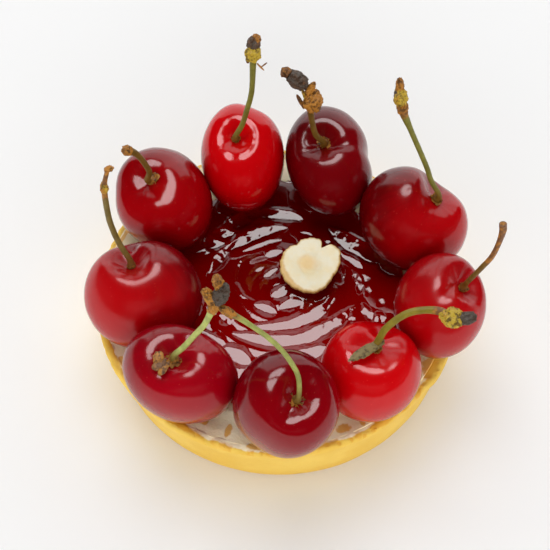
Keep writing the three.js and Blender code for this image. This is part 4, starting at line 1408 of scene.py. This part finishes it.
class TART_OT_crust(bpy.types.Operator):
    """Make the pastry shell with its seats for the fruit, and the crumbs on its rim"""

    bl_idname = "tart.crust"
    bl_label = "Pastry Shell"

    def execute(self, context):
        scene = context.scene
        crust = scene.tart_crust
        finish = {"Finish": crust_material(crust, scene.tart_filling)}
        mesh = with_seats(shared_tree("Seats", seat_tree), crust_mesh(crust), scene.tart_toppings, finish)
        place_piece("baked_crust", mesh, "pastry_shell", crease=50)
        above = {"Above": crust.height - CRUMB_ZONE}
        crumbs = grow(shared_tree("Crumbs", crumb_tree), mesh.copy(), finish | above)
        place_piece("rim_crumbs", crumbs, None)
        return {"FINISHED"}


class TART_OT_cream(bpy.types.Operator):
    """Make the set vanilla cream"""

    bl_idname = "tart.cream"
    bl_label = "Vanilla Cream"

    def execute(self, context):
        scene = context.scene
        finish = {"Finish": cream_material(scene.tart_crust, scene.tart_filling)}
        blank = cream_mesh(scene.tart_crust, scene.tart_filling)
        mesh = with_seats(shared_tree("Seats", seat_tree), blank, scene.tart_toppings, finish)
        place_piece("set_cream", mesh, "vanilla_cream")
        return {"FINISHED"}


class TART_OT_jelly(bpy.types.Operator):
    """Make the swirl of cherry jelly"""

    bl_idname = "tart.jelly"
    bl_label = "Cherry Jelly"

    def execute(self, context):
        scene = context.scene
        filling = scene.tart_filling
        values = {
            "Centre X": SWIRL_CENTRE[0], "Centre Y": SWIRL_CENTRE[1], "Pitch": filling.swirl_pitch,
            "Depth": filling.swirl_depth, "Reach": filling.swirl_radius, "Top": filling.cream_bed + 0.5 * MM,
            "Tilt": filling.tilt, "Front Tilt": filling.front_tilt, "Raggedness": filling.raggedness,
            "Skirt": filling.smear_skirt, "Meniscus": filling.meniscus,
            "Meniscus Reach": filling.meniscus_reach, "Finish": jelly_material(filling),
        }
        blank = jelly_blank(scene.tart_crust, filling)
        tree = shared_tree("Jelly swirl", jelly_tree)
        mesh = with_seats(tree, blank, scene.tart_toppings, values, JELLY_GAP, with_nut=True)
        place_piece("jelly_swirl", mesh, "cherry_jelly", crease=60)
        return {"FINISHED"}


class TART_OT_hazelnut(bpy.types.Operator):
    """Make the hazelnut half"""

    bl_idname = "tart.hazelnut"
    bl_label = "Hazelnut Half"

    def execute(self, context):
        toppings = context.scene.tart_toppings
        mesh = nut_mesh(toppings)
        mesh.materials.append(nut_material(toppings))
        place_piece("cut_hazelnut", mesh, "hazelnut_half", crease=60)
        return {"FINISHED"}


class TART_OT_cherries(bpy.types.Operator):
    """Make the nine cherries"""

    bl_idname = "tart.cherries"
    bl_label = "Cherries"

    def execute(self, context):
        for number, cherry in CHERRIES.items():
            skin = skin_material(f"Cherry skin {number}", cherry)
            mesh = cherry_mesh(cherry, context.scene.tart_toppings, Skin=skin)
            place_piece(f"ripe_cherry_{number}", mesh, f"cherry_{number}", crease=80)
        return {"FINISHED"}


class TART_OT_stalks(bpy.types.Operator):
    """Make the stalks with their dried bud scales"""

    bl_idname = "tart.stalks"
    bl_label = "Stalks"

    def execute(self, context):
        for number, stem in STEMS.items():
            cherry = CHERRIES[number]
            buds = new_object("buds", bud_mesh(stem, cherry, number))
            finish = stalk_material(f"Stalk {number}", stem, context.scene.tart_toppings)
            tree = shared_tree("Stalk", stalk_tree)
            mesh = grow(tree, stalk_curve(stem, cherry), {"Buds": buds, "Finish": finish})
            bpy.data.objects.remove(buds)
            place_piece(f"stalk_{number}", mesh, f"stem_{number}", crease=60)
        return {"FINISHED"}


def area_light(name, centre, aim, size, radiance, seen_by, shape="RECTANGLE"):
    """A flat light at a point, facing another, its width level, seen by gloss, by matt skins or both."""
    light = bpy.data.lights.new(name, "AREA")
    light.shape = shape
    light.size, light.size_y = size
    area = size[0] * size[1] * (math.pi / 4 if shape == "ELLIPSE" else 1)
    light.energy = radiance * math.pi * area
    holder = new_object(name, light)
    back = (Vector(centre) - Vector(aim)).normalized()
    side = (Vector((1, 0, 0)) - back * back.x).normalized()
    if abs(back.x) > 0.7:
        side = Vector((-back.y, back.x, 0)).normalized()
    turned = Matrix((side, back.cross(side), back)).transposed().to_4x4()
    holder.matrix_world = Matrix.Translation(centre) @ turned
    holder.visible_camera = False
    holder.visible_glossy = "gloss" in seen_by
    holder.visible_diffuse = "soft" in seen_by


def pale_floor(tone):
    """The floor, which belongs to the stage."""
    mesh = bpy.data.meshes.new("floor")
    corners = [(x * FLOOR_HALF, y * FLOOR_HALF, 0) for x, y in ((-1, -1), (1, -1), (1, 1), (-1, 1))]
    mesh.from_pydata(corners, [], [(0, 1, 2, 3)])
    floor = new_object("pale_floor", mesh)
    build = Paint("Pale floor", Roughness=0.8)
    faint = build.noise(build.place(), 3.0, 2.0, 0.5) * 0.004
    mesh.materials.append(build.finish(build.vector(*(faint + channel for channel in tone))))


def studio_world(room):
    """Soft light from all round for matt skins, nearly none for gloss, and a pale distance for the camera."""
    world = bpy.data.worlds.new("Room")
    bpy.context.scene.world = world
    world.use_nodes = True
    nodes, links = world.node_tree.nodes, world.node_tree.links
    shown = nodes["Background"]
    shown.inputs["Color"].default_value = (1, 1, 1, 1)
    shown.inputs["Strength"].default_value = GLOSS_ROOM
    seen = nodes.new("ShaderNodeLightPath")
    for ray, tone, strength in (("Is Diffuse Ray", 1, room), ("Is Camera Ray", FAR_TONE, 1)):
        light = nodes.new("ShaderNodeBackground")
        light.inputs["Color"].default_value = (tone, tone, tone, 1)
        light.inputs["Strength"].default_value = strength
        mix = nodes.new("ShaderNodeMixShader")
        links.new(seen.outputs[ray], mix.inputs[0])
        links.new(shown.outputs[0], mix.inputs[1])
        links.new(light.outputs[0], mix.inputs[2])
        shown = mix
    links.new(shown.outputs[0], nodes["World Output"].inputs["Surface"])


class TART_OT_studio(bpy.types.Operator):
    """Make the pale floor, the soft light and the camera"""

    bl_idname = "tart.studio"
    bl_label = "Studio"

    def execute(self, context):
        scene = context.scene
        studio = scene.tart_studio
        pale_floor(studio.floor)
        area_light("Softbox gloss", KEY_PLACE, LIT, (0.62, 0.54), studio.key, "gloss", "ELLIPSE")
        area_light("Softbox", KEY_PLACE, LIT, (0.58, 0.50), studio.key * studio.key_share, "soft")
        area_light("White wall", (0.03, 0.60, 0.36), (0.03, 0, 0.36), (1.05, 0.70), studio.back, "gloss soft")
        area_light("Front fill", (0, -0.66, 0.30), LIT, FILL_SIZE, studio.fill, "soft")
        area_light("Left fill", (-0.70, -0.10, 0.17), LIT, FILL_SIZE, studio.fill * 0.5, "soft")
        area_light("Right fill", (0.70, -0.10, 0.17), LIT, FILL_SIZE, studio.fill * 0.5, "soft")
        studio_world(studio.room)

        camera = bpy.data.cameras.new("Camera")
        camera.lens = studio.lens
        camera.sensor_width = 36
        camera.clip_start = 0.01
        scene.camera = new_object("Camera", camera)
        tip = studio.elevation
        scene.camera.location = CAMERA_AIM + Vector((0, -math.cos(tip), math.sin(tip))) * studio.distance
        scene.camera.rotation_euler = (math.pi / 2 - tip, 0, 0)
        scene.view_settings.view_transform = "Standard"
        return {"FINISHED"}


OPERATORS = (
    TART_OT_studio, TART_OT_crust, TART_OT_cream, TART_OT_jelly, TART_OT_hazelnut, TART_OT_cherries,
    TART_OT_stalks,
)


class TART_PT_panel(bpy.types.Panel):
    """Buttons for the pieces of the tart"""

    bl_idname = "TART_PT_panel"
    bl_label = "Cherry Tart"
    bl_space_type = "VIEW_3D"
    bl_region_type = "UI"
    bl_category = "Tart"

    def draw(self, context):
        for operator in OPERATORS:
            self.layout.operator(operator.bl_idname)


SETTINGS = {
    "tart_crust": TartCrustSettings,
    "tart_filling": TartFillingSettings,
    "tart_toppings": TartToppingSettings,
    "tart_studio": TartStudioSettings,
}


def register():
    for name, group in SETTINGS.items():
        bpy.utils.register_class(group)
        setattr(bpy.types.Scene, name, bpy.props.PointerProperty(type=group))
    for shown in (*OPERATORS, TART_PT_panel):
        bpy.utils.register_class(shown)


def unregister():
    for shown in reversed((*OPERATORS, TART_PT_panel)):
        bpy.utils.unregister_class(shown)
    for name, group in SETTINGS.items():
        delattr(bpy.types.Scene, name)
        bpy.utils.unregister_class(group)


def plain(box):
    return [list(corner) for corner in box]


def main():
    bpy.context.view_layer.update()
    register()
    bpy.ops.tart.studio()
    bpy.ops.tart.crust()
    bpy.ops.tart.cream()
    bpy.ops.tart.jelly()
    bpy.ops.tart.hazelnut()
    bpy.ops.tart.cherries()
    bpy.ops.tart.stalks()


if __name__ == "__main__":
    main()
